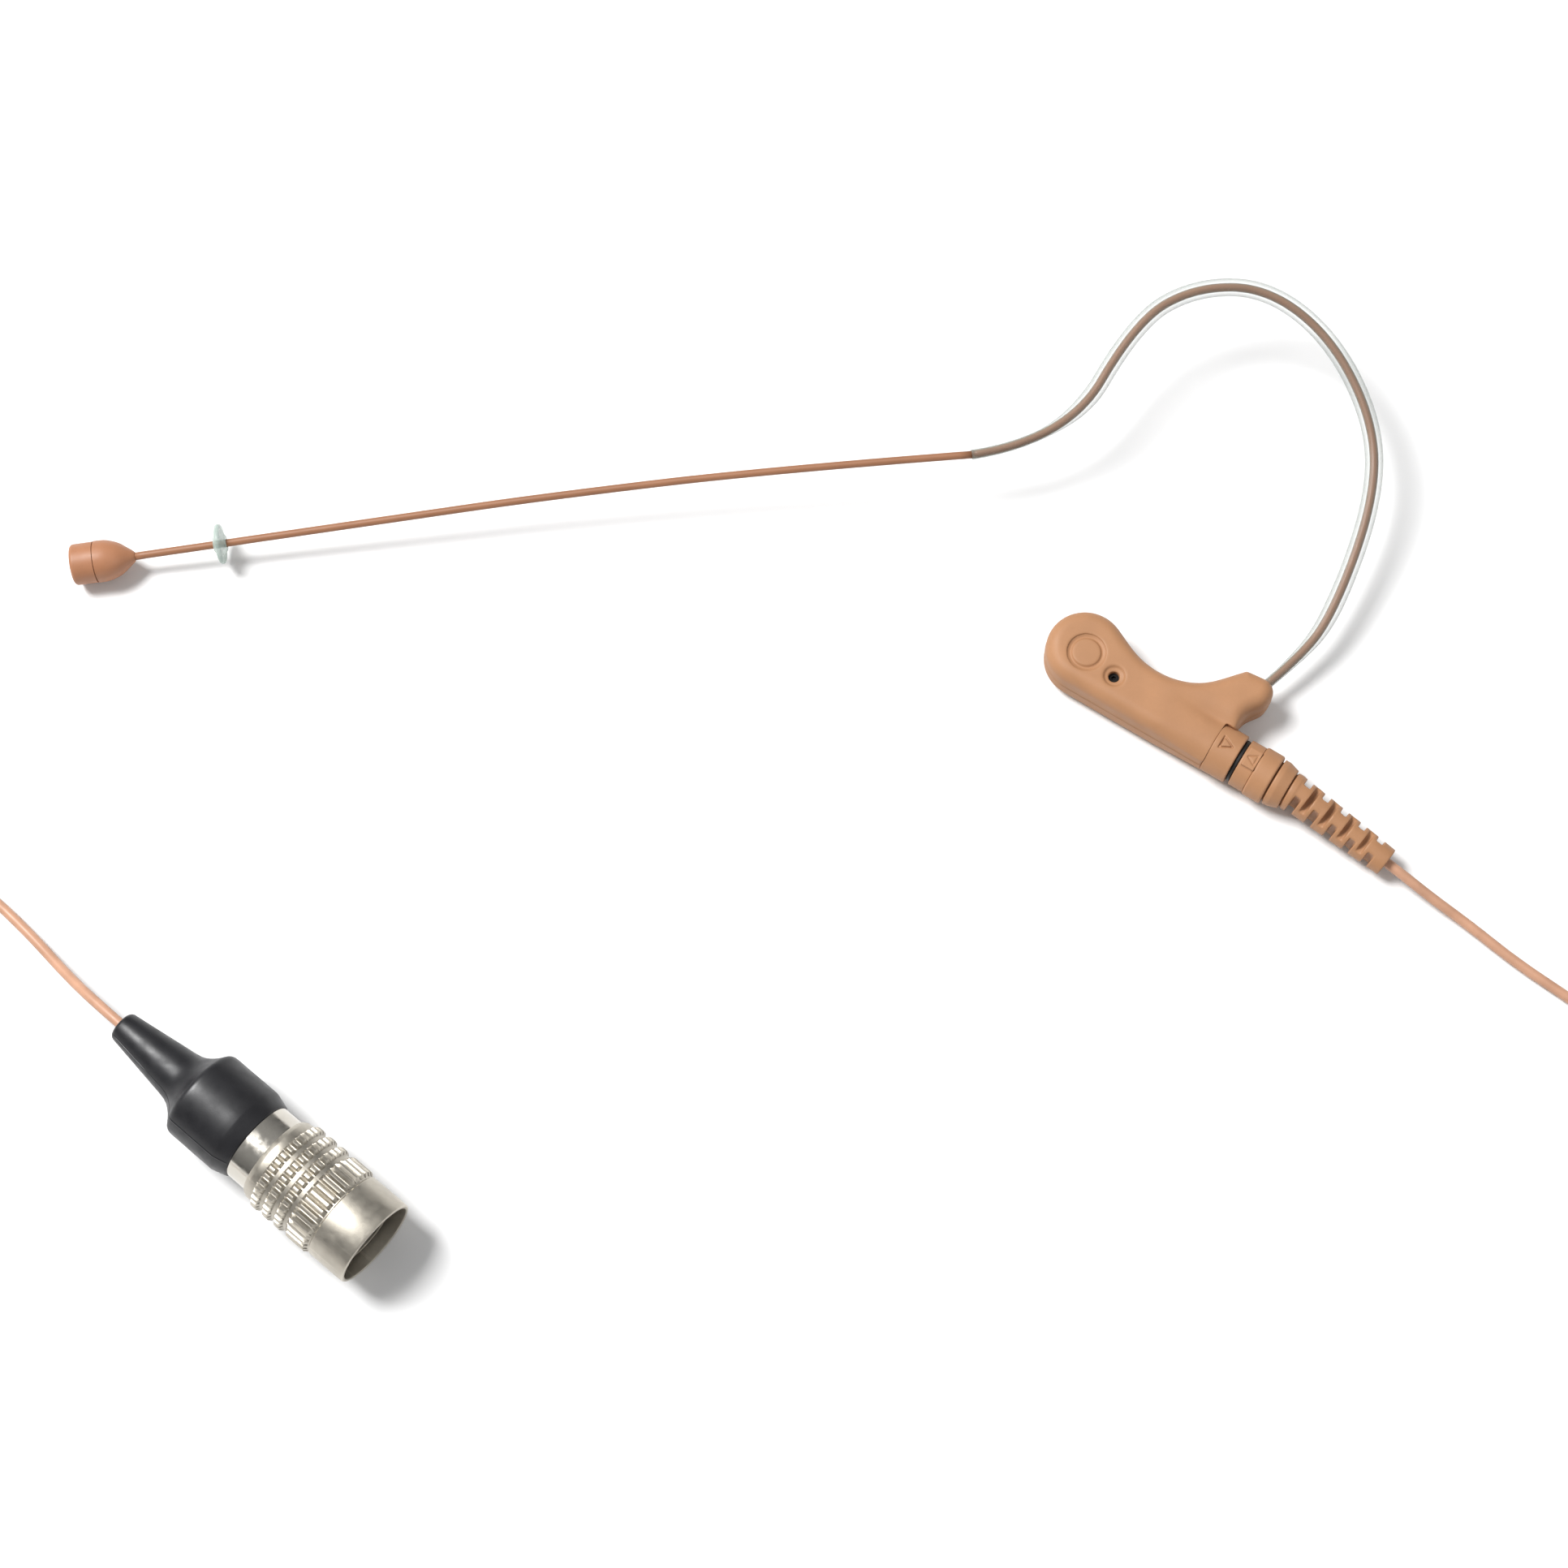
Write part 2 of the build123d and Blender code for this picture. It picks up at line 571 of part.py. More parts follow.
with BuildPart() as grille_cloth:
    with BuildSketch(cap_plane(0.52)):
        Circle(SPIGOT_R)
    extrude(amount=0.2)
write(grille_cloth, "grille_cloth")

with BuildPart() as capsule_housing:
    with BuildSketch(Plane(origin=CAPSULE_FRONT, x_dir=CAP_DIR, z_dir=side_of(CAP_DIR))):
        with BuildLine():
            tail = HOUSING_START + HOUSING_LONG
            Spline((HOUSING_START, HOUSING_R), (HOUSING_START + 1.1, 2.62), (HOUSING_START + 2.15, 2.38),
                   (HOUSING_START + 3.2, 1.9), (HOUSING_START + 4.25, 1.12), (tail, 0.58),
                   tangents=((1, 0), (1, -1.0)))
            Polyline((tail, 0.58), (tail, BOOM_R + 0.015), (tail - 0.9, BOOM_R + 0.015),
                     (tail - 0.9, 0.42), (tail - 2.0, 0.42), (HOUSING_START + 1.5, 1.98),
                     (0.95, 1.98), (0.95, SPIGOT_R), (HOUSING_START, SPIGOT_R),
                     (HOUSING_START, HOUSING_R))
        make_face()
    revolve(axis=Axis(CAPSULE_FRONT, CAP_DIR))
write(capsule_housing, "capsule_housing")

ELEMENT_R = 1.98 - FIT
with BuildPart() as mic_element:
    with BuildSketch(cap_plane(1.0)):
        Circle(ELEMENT_R)
    extrude(amount=2.3)
    with BuildSketch(cap_plane(1.0)):
        Circle(0.45)
    extrude(amount=0.4, mode=Mode.SUBTRACT)
write(mic_element, "mic_element")

with BuildPart() as element_gasket:
    with BuildSketch(cap_plane(3.32)):
        Circle(ELEMENT_R)
        Circle(1.2, mode=Mode.SUBTRACT)
    extrude(amount=0.25)
write(element_gasket, "element_gasket")

with BuildPart() as amplifier_board:
    with BuildSketch(cap_plane(3.6)):
        Circle(ELEMENT_R)
    extrude(amount=0.4)
    with BuildSketch(cap_plane(4.0)):
        Rectangle(0.9, 0.7)
    extrude(amount=0.35)
write(amplifier_board, "amplifier_board")

with BuildPart() as capsule_leads:
    with BuildSketch(cap_plane(4.36)):
        with Locations((0.2, 0), (-0.2, 0)):
            Circle(0.13)
    extrude(amount=2.4)
write(capsule_leads, "capsule_leads")

# ---------------------------------------------------------------- cable
cable_lead = rod(LEAD_ROUTE, CABLE_R)
write(cable_lead, "cable_lead")

cable_run = rod(RUN_ROUTE, CABLE_R)
write(cable_run, "cable_run")

with BuildPart() as cable_coil:
    with BuildSketch(Plane(origin=(COIL_X, COIL_Y, TIE_THICK + 0.04 + COIL_HIGH / 2), x_dir=(1, 0, 0),
                           z_dir=(0, -1, 0))):
        with Locations((COIL_MID_R, 0)):
            RectangleRounded(COIL_WIDE, COIL_HIGH, 1.3)
    revolve(axis=Axis((COIL_X, COIL_Y, 0), (0, 0, 1)))
write(cable_coil, "cable_coil")

TIE_TURN = 200.0
TIE_DIR = direction(TIE_TURN)
with BuildPart() as cable_tie:
    with BuildSketch(Plane(origin=Vector(COIL_X, COIL_Y, TIE_THICK + 0.04 + COIL_HIGH / 2)
                           + TIE_DIR * COIL_MID_R + direction(TIE_TURN + 90) * -1.6,
                           x_dir=TIE_DIR, z_dir=direction(TIE_TURN + 90))):
        RectangleRounded(COIL_WIDE + 2 * TIE_THICK + 0.7, COIL_HIGH + 2 * TIE_THICK + 0.06, 1.6)
        RectangleRounded(COIL_WIDE + 0.7, COIL_HIGH + 0.06, 1.15, mode=Mode.SUBTRACT)
    extrude(amount=3.2)
write(cable_tie, "cable_tie")

# ---------------------------------------------------------------- connector
CONN_DIR = direction(CONN_TURN)
CONN_ORIGIN = Vector(*CONN_TIP)
CONN_SIDE = Plane(origin=CONN_ORIGIN, x_dir=CONN_DIR, z_dir=CONN_DIR.cross(Vector(0, 0, 1)))
CONN_AXIS = Axis(CONN_TIP, tuple(CONN_DIR))


def conn_plane(q):
    """A plane across the connector's axis, q from the tip of its boot."""
    return frame_at(CONN_ORIGIN + CONN_DIR * q, CONN_DIR)


BOOT_FRONT = 22.0
with BuildPart() as connector_boot:
    with BuildSketch(CONN_SIDE):
        with BuildLine():
            Polyline((0, CABLE_R), (0, 1.7), (0.3, 1.95), (9.5, 3.2))
            Spline((9.5, 3.2), (11.2, 3.9), (12.7, 5.45), tangents=((1, 0.15), (0.45, 1)))
            ThreePointArc((12.7, 5.45), (13.0, 5.75), (13.4, BOOT_R))
            Polyline((13.4, BOOT_R), (BOOT_FRONT - 2.0, BOOT_R), (BOOT_FRONT, 5.25),
                     (BOOT_FRONT, 4.5), (14.2, 4.5), (14.2, CABLE_R), (0, CABLE_R))
        make_face()
    revolve(axis=CONN_AXIS)
write(connector_boot, "connector_boot")

with BuildPart() as cable_clamp:
    with BuildSketch(conn_plane(14.4)):
        Circle(3.0)
        Circle(CABLE_R + FIT, mode=Mode.SUBTRACT)
    extrude(amount=6.0)
    with BuildSketch(conn_plane(15.0)):
        Rectangle(0.5, 8)
    extrude(amount=7, mode=Mode.SUBTRACT)
write(cable_clamp, "cable_clamp")

with BuildPart() as clamp_nut:
    with BuildSketch(conn_plane(14.5)):
        RegularPolygon(4.4, 6)
        Circle(3.0 + FIT, mode=Mode.SUBTRACT)
    extrude(amount=7.4)
write(clamp_nut, "clamp_nut")

with BuildPart() as rear_shell:
    with BuildSketch(conn_plane(BOOT_FRONT + 0.05)):
        Circle(REAR_SHELL_R)
        Circle(3.1, mode=Mode.SUBTRACT)
    extrude(amount=7.35)
    with BuildSketch(conn_plane(27.4)):
        Circle(FRONT_TUBE_R + FIT)
    extrude(amount=3, mode=Mode.SUBTRACT)
write(rear_shell, "rear_shell")
REAR_SHELL_END = BOOT_FRONT + 0.05 + 7.35

with BuildPart() as front_tube:
    with BuildSketch(conn_plane(27.5)):
        Circle(FRONT_TUBE_R)
        Circle(3.0 + FIT, mode=Mode.SUBTRACT)
    extrude(amount=11.9)
    # two keys on top that guide the mating socket
    with BuildSketch(conn_plane(34.6)):
        with Locations(Location((0.85, 3.95)), Location((-0.85, 3.95))):
            Rectangle(0.6, 1.0)
    extrude(amount=3.6)
write(front_tube, "front_tube")

CONTACT_R, CONTACT_PCD_R, CONTACT_COUNT = 0.5, 1.7, 4
CONTACT_BACK, CONTACT_FRONT = 28.6, 37.6           # the contacts end well inside the insulator
with BuildPart() as pin_insulator:
    with BuildSketch(conn_plane(30.5)):
        Circle(3.0)
        with PolarLocations(CONTACT_PCD_R, CONTACT_COUNT):
            Circle(CONTACT_R + FIT, mode=Mode.SUBTRACT)
    extrude(amount=8.5)
    with BuildSketch(conn_plane(39.0)):
        Circle(0.75)
    extrude(amount=-0.25, mode=Mode.SUBTRACT)
write(pin_insulator, "pin_insulator")

with BuildPart() as socket_pins:
    with BuildSketch(conn_plane(CONTACT_BACK)):
        with PolarLocations(CONTACT_PCD_R, CONTACT_COUNT):
            Circle(CONTACT_R)
    extrude(amount=CONTACT_FRONT - CONTACT_BACK)
    with BuildSketch(conn_plane(CONTACT_FRONT)):
        with PolarLocations(CONTACT_PCD_R, CONTACT_COUNT):
            Circle(0.3)
    extrude(amount=-4.0, mode=Mode.SUBTRACT)
write(socket_pins, "socket_pins")

LEAD_PCD_R = 0.64
with BuildPart() as connector_leads:
    with BuildSketch(conn_plane(20.6)):
        with PolarLocations(LEAD_PCD_R, CONTACT_COUNT):
            Circle(0.28)
    extrude(amount=4.0)
    for x, y in ((1, 0), (0, 1), (-1, 0), (0, -1)):
        with BuildSketch(conn_plane(24.6)):
            with Locations((LEAD_PCD_R * x, LEAD_PCD_R * y)):
                Circle(0.28)
        with BuildSketch(conn_plane(CONTACT_BACK - 0.1)):
            with Locations((CONTACT_PCD_R * x, CONTACT_PCD_R * y)):
                Circle(0.28)
        loft()
write(connector_leads, "connector_leads")

SPRING_START, SPRING_END = REAR_SHELL_END + 0.05, 33.0
SPRING_TURNS, SPRING_WIRE_R = 3, 0.18
with BuildPart() as coupling_spring:
    pitch = (SPRING_END - SPRING_START - 2.3 * SPRING_WIRE_R) / SPRING_TURNS
    with BuildLine() as coil_line:
        Helix(pitch=pitch, height=pitch * SPRING_TURNS, radius=4.55,
              center=CONN_ORIGIN + CONN_DIR * (SPRING_START + 1.15 * SPRING_WIRE_R), direction=CONN_DIR)
    with BuildSketch(Plane(origin=coil_line.line @ 0, z_dir=coil_line.line % 0)):
        Circle(SPRING_WIRE_R)
    sweep(path=coil_line.line, is_frenet=True)
write(coupling_spring, "coupling_spring")

# knurled coupling sleeve, pulled back against the spring to unlock
KNURL_START, KNURL_END = SLEEVE_START + 1.3, SLEEVE_START + 10.7
STEP_BACK, STEP_FRONT = 33.1, 34.2                 # the inner step that the spring pushes on
STEP_R = FRONT_TUBE_R + 0.1
with BuildPart() as coupling_sleeve:
    with BuildSketch(CONN_SIDE):
        with BuildLine():
            Polyline((SLEEVE_START, REAR_SHELL_R + RUNNING), (SLEEVE_START, 5.35),
                     (SLEEVE_START + 0.5, 5.6), (KNURL_START, 5.6), (KNURL_START, KNURL_R - 0.3),
                     (KNURL_START + 0.3, KNURL_R), (KNURL_END - 0.3, KNURL_R), (KNURL_END, KNURL_R - 0.3),
                     (KNURL_END, SLEEVE_FRONT_R), (SLEEVE_END - 0.15, SLEEVE_FRONT_R),
                     (SLEEVE_END, SLEEVE_FRONT_R - 0.15), (SLEEVE_END, SLEEVE_BORE_R),
                     (STEP_FRONT, SLEEVE_BORE_R), (STEP_FRONT, STEP_R), (STEP_BACK, STEP_R),
                     (STEP_BACK, REAR_SHELL_R + RUNNING), close=True)
        make_face()
    revolve(axis=CONN_AXIS)
    # grooves along the knurl, then rings that cut its rear half into short rows
    with BuildSketch(conn_plane(KNURL_START - 0.1)):
        with PolarLocations(KNURL_R, TEETH):
            RegularPolygon(0.34, 4)
    extrude(amount=KNURL_END - KNURL_START + 0.2, mode=Mode.SUBTRACT)
    for row in range(3):
        with BuildSketch(conn_plane(KNURL_START + 1.5 + row * 1.85)):
            Circle(KNURL_R + 1)
            Circle(5.66, mode=Mode.SUBTRACT)
        extrude(amount=0.5, mode=Mode.SUBTRACT)
    # clearance slot at the step so that the sleeve passes the keys
    with BuildSketch(conn_plane(STEP_BACK - 0.1)):
        with Locations((0, 4.2)):
            Rectangle(2.7, 1.4)
    extrude(amount=STEP_FRONT - STEP_BACK + 0.2, mode=Mode.SUBTRACT)
write(coupling_sleeve, "coupling_sleeve")

# ---------------------------------------------------------------- what the routes come to
for name, route, piece, radius in (("hook", HOOK_ROUTE, ear_hook_wire, HOOK_R),
                                   ("lead", LEAD_ROUTE, cable_lead, CABLE_R),
                                   ("run", RUN_ROUTE, cable_run, CABLE_R)):
    with BuildLine() as check_line:
        FilletPolyline(*route, radius=route_radii(route))
    length = sum(edge.length for edge in check_line.edges())
    print(name, "length", round(length, 1), "volume ratio",
          round(piece.part.volume / (math.pi * radius ** 2 * length), 4),
          "radii", [round(r, 1) for r in route_radii(route)])
print("coil turns", TURNS, "length", round(2 * math.pi * COIL_MID_R * TURNS, 1))
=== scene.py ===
"""Headset microphone: its looks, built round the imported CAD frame.

Objects are in metres. Profiles and routes are written in millimetres and scaled by MM.
"""
import bmesh
import bpy
import json
import math
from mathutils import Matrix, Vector


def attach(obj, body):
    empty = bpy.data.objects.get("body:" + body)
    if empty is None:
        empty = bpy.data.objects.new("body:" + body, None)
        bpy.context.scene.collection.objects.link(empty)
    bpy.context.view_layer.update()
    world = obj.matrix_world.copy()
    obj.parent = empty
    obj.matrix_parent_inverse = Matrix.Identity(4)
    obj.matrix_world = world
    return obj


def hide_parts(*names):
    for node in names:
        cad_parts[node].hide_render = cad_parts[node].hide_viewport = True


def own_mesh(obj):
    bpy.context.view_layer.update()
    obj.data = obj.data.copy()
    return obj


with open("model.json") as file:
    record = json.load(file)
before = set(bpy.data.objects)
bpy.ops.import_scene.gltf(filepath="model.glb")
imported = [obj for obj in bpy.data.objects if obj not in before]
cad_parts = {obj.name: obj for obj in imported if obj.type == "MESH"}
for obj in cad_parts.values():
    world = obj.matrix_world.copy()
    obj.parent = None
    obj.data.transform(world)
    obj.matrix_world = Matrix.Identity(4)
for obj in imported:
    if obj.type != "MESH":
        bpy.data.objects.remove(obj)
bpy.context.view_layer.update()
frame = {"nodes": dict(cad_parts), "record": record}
nodes = frame["nodes"]
MM = 0.001


def metres(route):
    """Points given in millimetres, as vectors in metres."""
    return [Vector(point) * MM for point in route]


def direction(degrees):
    """A level unit vector at this angle from X."""
    angle = math.radians(degrees)
    return Vector((math.cos(angle), math.sin(angle), 0))


# ---------------------------------------------------------------- camera
CAMERA_AT = Vector((-0.037484, -0.140544, 0.383773))
CAMERA_TILT = 18                       # degrees away from looking straight down
camera_data = bpy.data.cameras.new("camera")
camera_data.lens = 74.534
camera_data.sensor_width = 36.0
camera_data.clip_start = 0.01
camera_data.clip_end = 20.0
camera = bpy.data.objects.new("camera", camera_data)
camera.location = CAMERA_AT
camera.rotation_euler = (math.radians(CAMERA_TILT), 0, 0)
bpy.context.scene.collection.objects.link(camera)
bpy.context.scene.camera = camera

# ---------------------------------------------------------------- routes, as in the CAD part
HOOK_ROUTE = metres([
    (-13.9, 24.85, 8.65), (-2.0, 26.6, 9.15), (7.0, 41.7, 12.05), (14.4, 46.0, 12.85),
    (23.5, 46.0, 12.85), (31.6, 39.6, 11.65), (36.7, 28.8, 9.6), (36.5, 18.9, 7.7),
    (31.1, 4.9, 5.05), (26.5, -0.9, 3.85), (19.9, -6.2, 3.35),
])
BOOM_ROUTE = metres([
    (-120.2, 13.23, 3.07), (-86.0, 17.84, 4.87), (-67.9, 20.28, 5.81), (-39.5, 23.32, 7.3),
    (-13.9, 24.85, 8.65),
])
LEAD_ROUTE = metres([
    (33.9, -24.8, 2.55), (37.4, -27.5, 2.25), (41.6, -30.9, 1.6), (46.2, -34.2, 0.8),
    (52.0, -39.2, 0.66), (58.6, -43.9, 0.66), (67.6, -50.9, 0.75), (74.9, -55.6, 1.1),
])
RUN_ROUTE = metres([
    (81.9, -71.7, 5.0), (78.3, -76.3, 4.5), (74.1, -82.8, 2.4), (71.6, -90.6, 0.7),
    (68.9, -102.2, 0.66), (61.5, -113.8, 0.66), (46.5, -119.3, 0.66), (21.0, -117.0, 0.66),
    (-9.0, -119.6, 0.66), (-38.0, -117.0, 0.66), (-68.0, -119.7, 0.66), (-97.0, -117.2, 0.66),
    (-122.0, -119.4, 0.66), (-137.5, -113.8, 0.66), (-143.3, -96.5, 0.66), (-144.1, -75.0, 0.66),
    (-145.5, -57.5, 0.66), (-147.4, -44.5, 0.66), (-147.3, -33.4, 0.66), (-143.0, -26.2, 0.66),
    (-136.0, -29.5, 0.66), (-129.9, -35.1, 0.75), (-124.2, -41.2, 2.8), (-119.5, -45.65, 5.75),
    (-114.3, -50.03, 6.0),
])
CABLE_D = 1.3 * MM
BOOM_R, HOOK_R, SLEEVE_R = 0.485 * MM, 0.525 * MM, 1.15 * MM

COIL_CENTRE = Vector((73.5, -66.4, 0)) * MM
COIL_FROM, COIL_TO = 54.7, -32.2       # angles where the cable comes onto the coil and leaves it
COIL_JOG = -160.0                      # angle under the tie, where each turn steps to the next
COIL_LOW, COIL_STEP = 1.19, 1.3        # height of the lowest layer, and from layer to layer
COIL_STEPS_A_TURN = 16
JOG_SPREAD = 55                        # degrees over which a turn moves over to the next
CLIMB_EARLY = 0.75                     # how much sooner it climbs than it moves over, in jog spreads
CONTROL_PULL = 0.25                    # how far a control point's neighbours draw the curve inwards
LAYERS = (                             # radii of the turns, from the lowest layer up
    (9.95, 8.55, 7.15, 5.75, 4.4), (5.1, 6.45, 7.85, 9.25),
    (9.95, 8.55, 7.15, 5.75, 4.4), (5.1, 6.45, 7.85, 9.35),
)


def smooth(t):
    """An even rise from 0 to 1 as t goes from 0 to 1."""
    t = min(max(t, 0.0), 1.0)
    return t * t * (3 - 2 * t)


def coil_points():
    """The control points of the wound turns, clockwise and layer on layer."""
    turns = [(radius, COIL_LOW + COIL_STEP * level)
             for level, row in enumerate(LAYERS) for radius in row]
    first_jog = COIL_FROM - COIL_JOG
    sweep = first_jog + 360 * (len(turns) - 2) + (COIL_JOG + 360 - COIL_TO) % 360
    step = 360 / COIL_STEPS_A_TURN
    spread = 1 / (1 - CONTROL_PULL + CONTROL_PULL * math.cos(math.radians(step)))
    points = []
    for k in range(1, int(sweep / step)):
        gone = k * step
        place = (gone - first_jog) / 360 + 1
        radius, height = turns[min(int(max(place, 0)), len(turns) - 1)]
        nearest = round(place)
        if 1 <= nearest < len(turns):
            before, after = turns[nearest - 1], turns[nearest]
            away = (place - nearest) * 360
            moved = 0.5 + away / JOG_SPREAD
            radius = before[0] + (after[0] - before[0]) * smooth(moved)
            height = before[1] + (after[1] - before[1]) * smooth(moved + CLIMB_EARLY)
        angle = math.radians(COIL_FROM - gone)
        flat = Vector((math.cos(angle), math.sin(angle), 0)) * radius * spread * MM
        points.append(COIL_CENTRE + flat + Vector((0, 0, height * MM)))
    return points


def nurbs(name, points, thickness=0.0, resolution=4):
    """A smooth curve object with these control points."""
    data = bpy.data.curves.new(name, "CURVE")
    data.dimensions = "3D"
    data.resolution_u = resolution
    spline = data.splines.new("NURBS")
    spline.points.add(len(points) - 1)
    for target, point in zip(spline.points, points):
        target.co = (*point, 1)
    spline.order_u = 3
    spline.use_endpoint_u = True
    data.bevel_depth = thickness / 2
    data.bevel_resolution = 4
    data.use_fill_caps = True
    piece = bpy.data.objects.new(name, data)
    bpy.context.scene.collection.objects.link(piece)
    return piece


def line_of(points, resolution):
    """The points along the smooth curve with these control points."""
    guide = nurbs("guide", points, resolution=resolution)
    mesh = bpy.data.meshes.new_from_object(guide)
    line = [v.co.copy() for v in mesh.vertices]
    bpy.data.meshes.remove(mesh)
    bpy.data.objects.remove(guide)
    return line


# ---------------------------------------------------------------- materials
NOISE_LOW, NOISE_HIGH = 0.3, 0.7       # where most of a noise texture's values lie


class Look:
    """A material whose nodes work in the row frame's own coordinates."""

    def __init__(self, name, rough, metallic=0.0, **plain):
        self.material = bpy.data.materials.new(name)
        self.material.use_nodes = True
        self.tree = self.material.node_tree
        self.shader = self.tree.nodes["Principled BSDF"]
        self.shader.inputs["Roughness"].default_value = rough
        self.shader.inputs["Metallic"].default_value = metallic
        for socket, value in plain.items():
            self.shader.inputs[socket.replace("_", " ")].default_value = value
        self.place = self.tree.nodes.new("ShaderNodeTexCoord").outputs["Object"]

    def node(self, kind, **settings):
        made = self.tree.nodes.new("ShaderNode" + kind)
        for key, value in settings.items():
            setattr(made, key, value)
        return made

    def join(self, source, target):
        self.tree.links.new(source, target)

    def noise(self, size, detail=3.0, rough=0.5):
        """Noise whose patches are about this size in metres."""
        made = self.node("TexNoise")
        made.inputs["Scale"].default_value = 1 / size
        made.inputs["Detail"].default_value = detail
        made.inputs["Roughness"].default_value = rough
        self.join(self.place, made.inputs["Vector"])
        return made.outputs["Fac"]

    def ramp(self, source, *stops):
        """Two stops of (position, colour)."""
        made = self.node("ValToRGB")
        for element, (at, colour) in zip(made.color_ramp.elements, stops):
            element.position = at
            element.color = (*colour, 1)
        self.join(source, made.inputs["Fac"])
        return made.outputs["Color"]

    def mix(self, amount, base, colour):
        """Lays a plain colour over a base colour by an amount that a node gives."""
        made = self.node("Mix", data_type="RGBA")
        under, over = [socket for socket in made.inputs if socket.type == "RGBA"]
        self.join(base, under)
        over.default_value = (*colour, 1)
        self.join(amount, made.inputs[0])
        return [socket for socket in made.outputs if socket.type == "RGBA"][0]

    def spread(self, source, low, high):
        """Noise stretched from its usual middle range to between low and high."""
        made = self.node("MapRange")
        made.inputs["From Min"].default_value = NOISE_LOW
        made.inputs["From Max"].default_value = NOISE_HIGH
        made.inputs["To Min"].default_value = low
        made.inputs["To Max"].default_value = high
        self.join(source, made.inputs["Value"])
        return made.outputs["Result"]

    def bump(self, height, depth, strength):
        made = self.node("Bump")
        made.inputs["Distance"].default_value = depth
        made.inputs["Strength"].default_value = strength
        self.join(height, made.inputs["Height"])
        return made.outputs["Normal"]

    def finish(self, colour, rough, normal):
        """Joins the sockets to the shader. Without a rough socket the plain roughness stays."""
        for socket, source in (("Base Color", colour), ("Roughness", rough), ("Normal", normal)):
            if source is not None:
                self.join(source, self.shader.inputs[socket])
        return self.material


def shade(colour, factor):
    """A lighter or darker colour."""
    return tuple(min(c * factor, 1.0) for c in colour)


TAN = (0.41, 0.206, 0.1)


def soft_touch(name, colour, rough=0.56):
    """Moulded soft-touch plastic: fine spark-eroded grain, faint clouding, a little handling shine."""
    look = Look(name, rough, Specular_IOR_Level=0.42)
    cloud = look.noise(4.5 * MM, 4)
    fine = look.noise(0.35 * MM, 3)
    base = look.ramp(cloud, (NOISE_LOW, shade(colour, 0.93)), (NOISE_HIGH, shade(colour, 1.05)))
    base = look.mix(look.spread(fine, 0, 0.16), base, shade(colour, 0.84))
    grainy = look.bump(look.noise(0.12 * MM, 2, 0.6), 0.012 * MM, 0.55)
    return look.finish(base, look.spread(look.noise(2.2 * MM, 3), rough - 0.06, rough + 0.08), grainy)


def coated_metal(name, colour):
    """Thin metal with a matt skin-coloured coating: tiny orange peel and specks."""
    look = Look(name, 0.48, Specular_IOR_Level=0.45)
    cloud = look.noise(6 * MM, 3)
    base = look.ramp(cloud, (NOISE_LOW, shade(colour, 0.92)), (NOISE_HIGH, shade(colour, 1.06)))
    specks = look.ramp(look.noise(0.22 * MM, 2, 0.7), (0.24, (1, 1, 1)), (0.36, (0, 0, 0)))
    base = look.mix(specks, base, shade(colour, 0.86))
    peel = look.bump(look.noise(0.16 * MM, 2), 0.008 * MM, 0.5)
    return look.finish(base, look.spread(look.noise(1.5 * MM, 3), 0.42, 0.56), peel)


def rubber(name, colour, rough, depth=0.01 * MM, specks=0.12):
    """Rubber, cable jacket and other dull plastics: a fine skin with paler specks in it."""
    look = Look(name, rough, Specular_IOR_Level=0.45)
    cloud = look.noise(3 * MM, 4)
    base = look.ramp(cloud, (NOISE_LOW, shade(colour, 0.88)), (NOISE_HIGH, shade(colour, 1.12)))
    fine = look.noise(0.28 * MM, 3, 0.7)
    base = look.mix(look.spread(fine, 0, specks), base, shade(colour, 1.5))
    skin = look.bump(look.noise(0.13 * MM, 3, 0.6), depth, 0.5)
    return look.finish(base, look.spread(look.noise(1.8 * MM, 4), rough - 0.07, rough + 0.1), skin)


def metal(name, colour, rough, grain, depth, tarnish=0.8, wear=0.0):
    """Plated metal, blasted or polished, with faint tarnish, and edges worn bright where wear says so."""
    look = Look(name, rough, metallic=1.0)
    cloud = look.noise(3.2 * MM, 4)
    base = look.ramp(cloud, (0.32, shade(colour, tarnish)), (0.66, colour))
    fine = look.noise(grain, 2, 0.7)
    base = look.mix(look.spread(fine, 0, 0.22), base, shade(colour, 0.72))
    if wear:
        edge = look.node("NewGeometry").outputs["Pointiness"]
        rim = look.ramp(edge, (0.50, (0, 0, 0)), (0.56, (wear, wear, wear)))
        base = look.mix(rim, base, shade(colour, 1.3))
    grainy = look.bump(look.noise(grain, 2, 0.6), depth, 0.6)
    return look.finish(base, look.spread(look.noise(0.9 * MM, 3), rough - 0.06, rough + 0.08), grainy)


EDGE_HAZE_AND_RIM_SHADE = 7                          # how much thicker the haze is at the edges: partly the longer path through the wall, partly painted rim shade


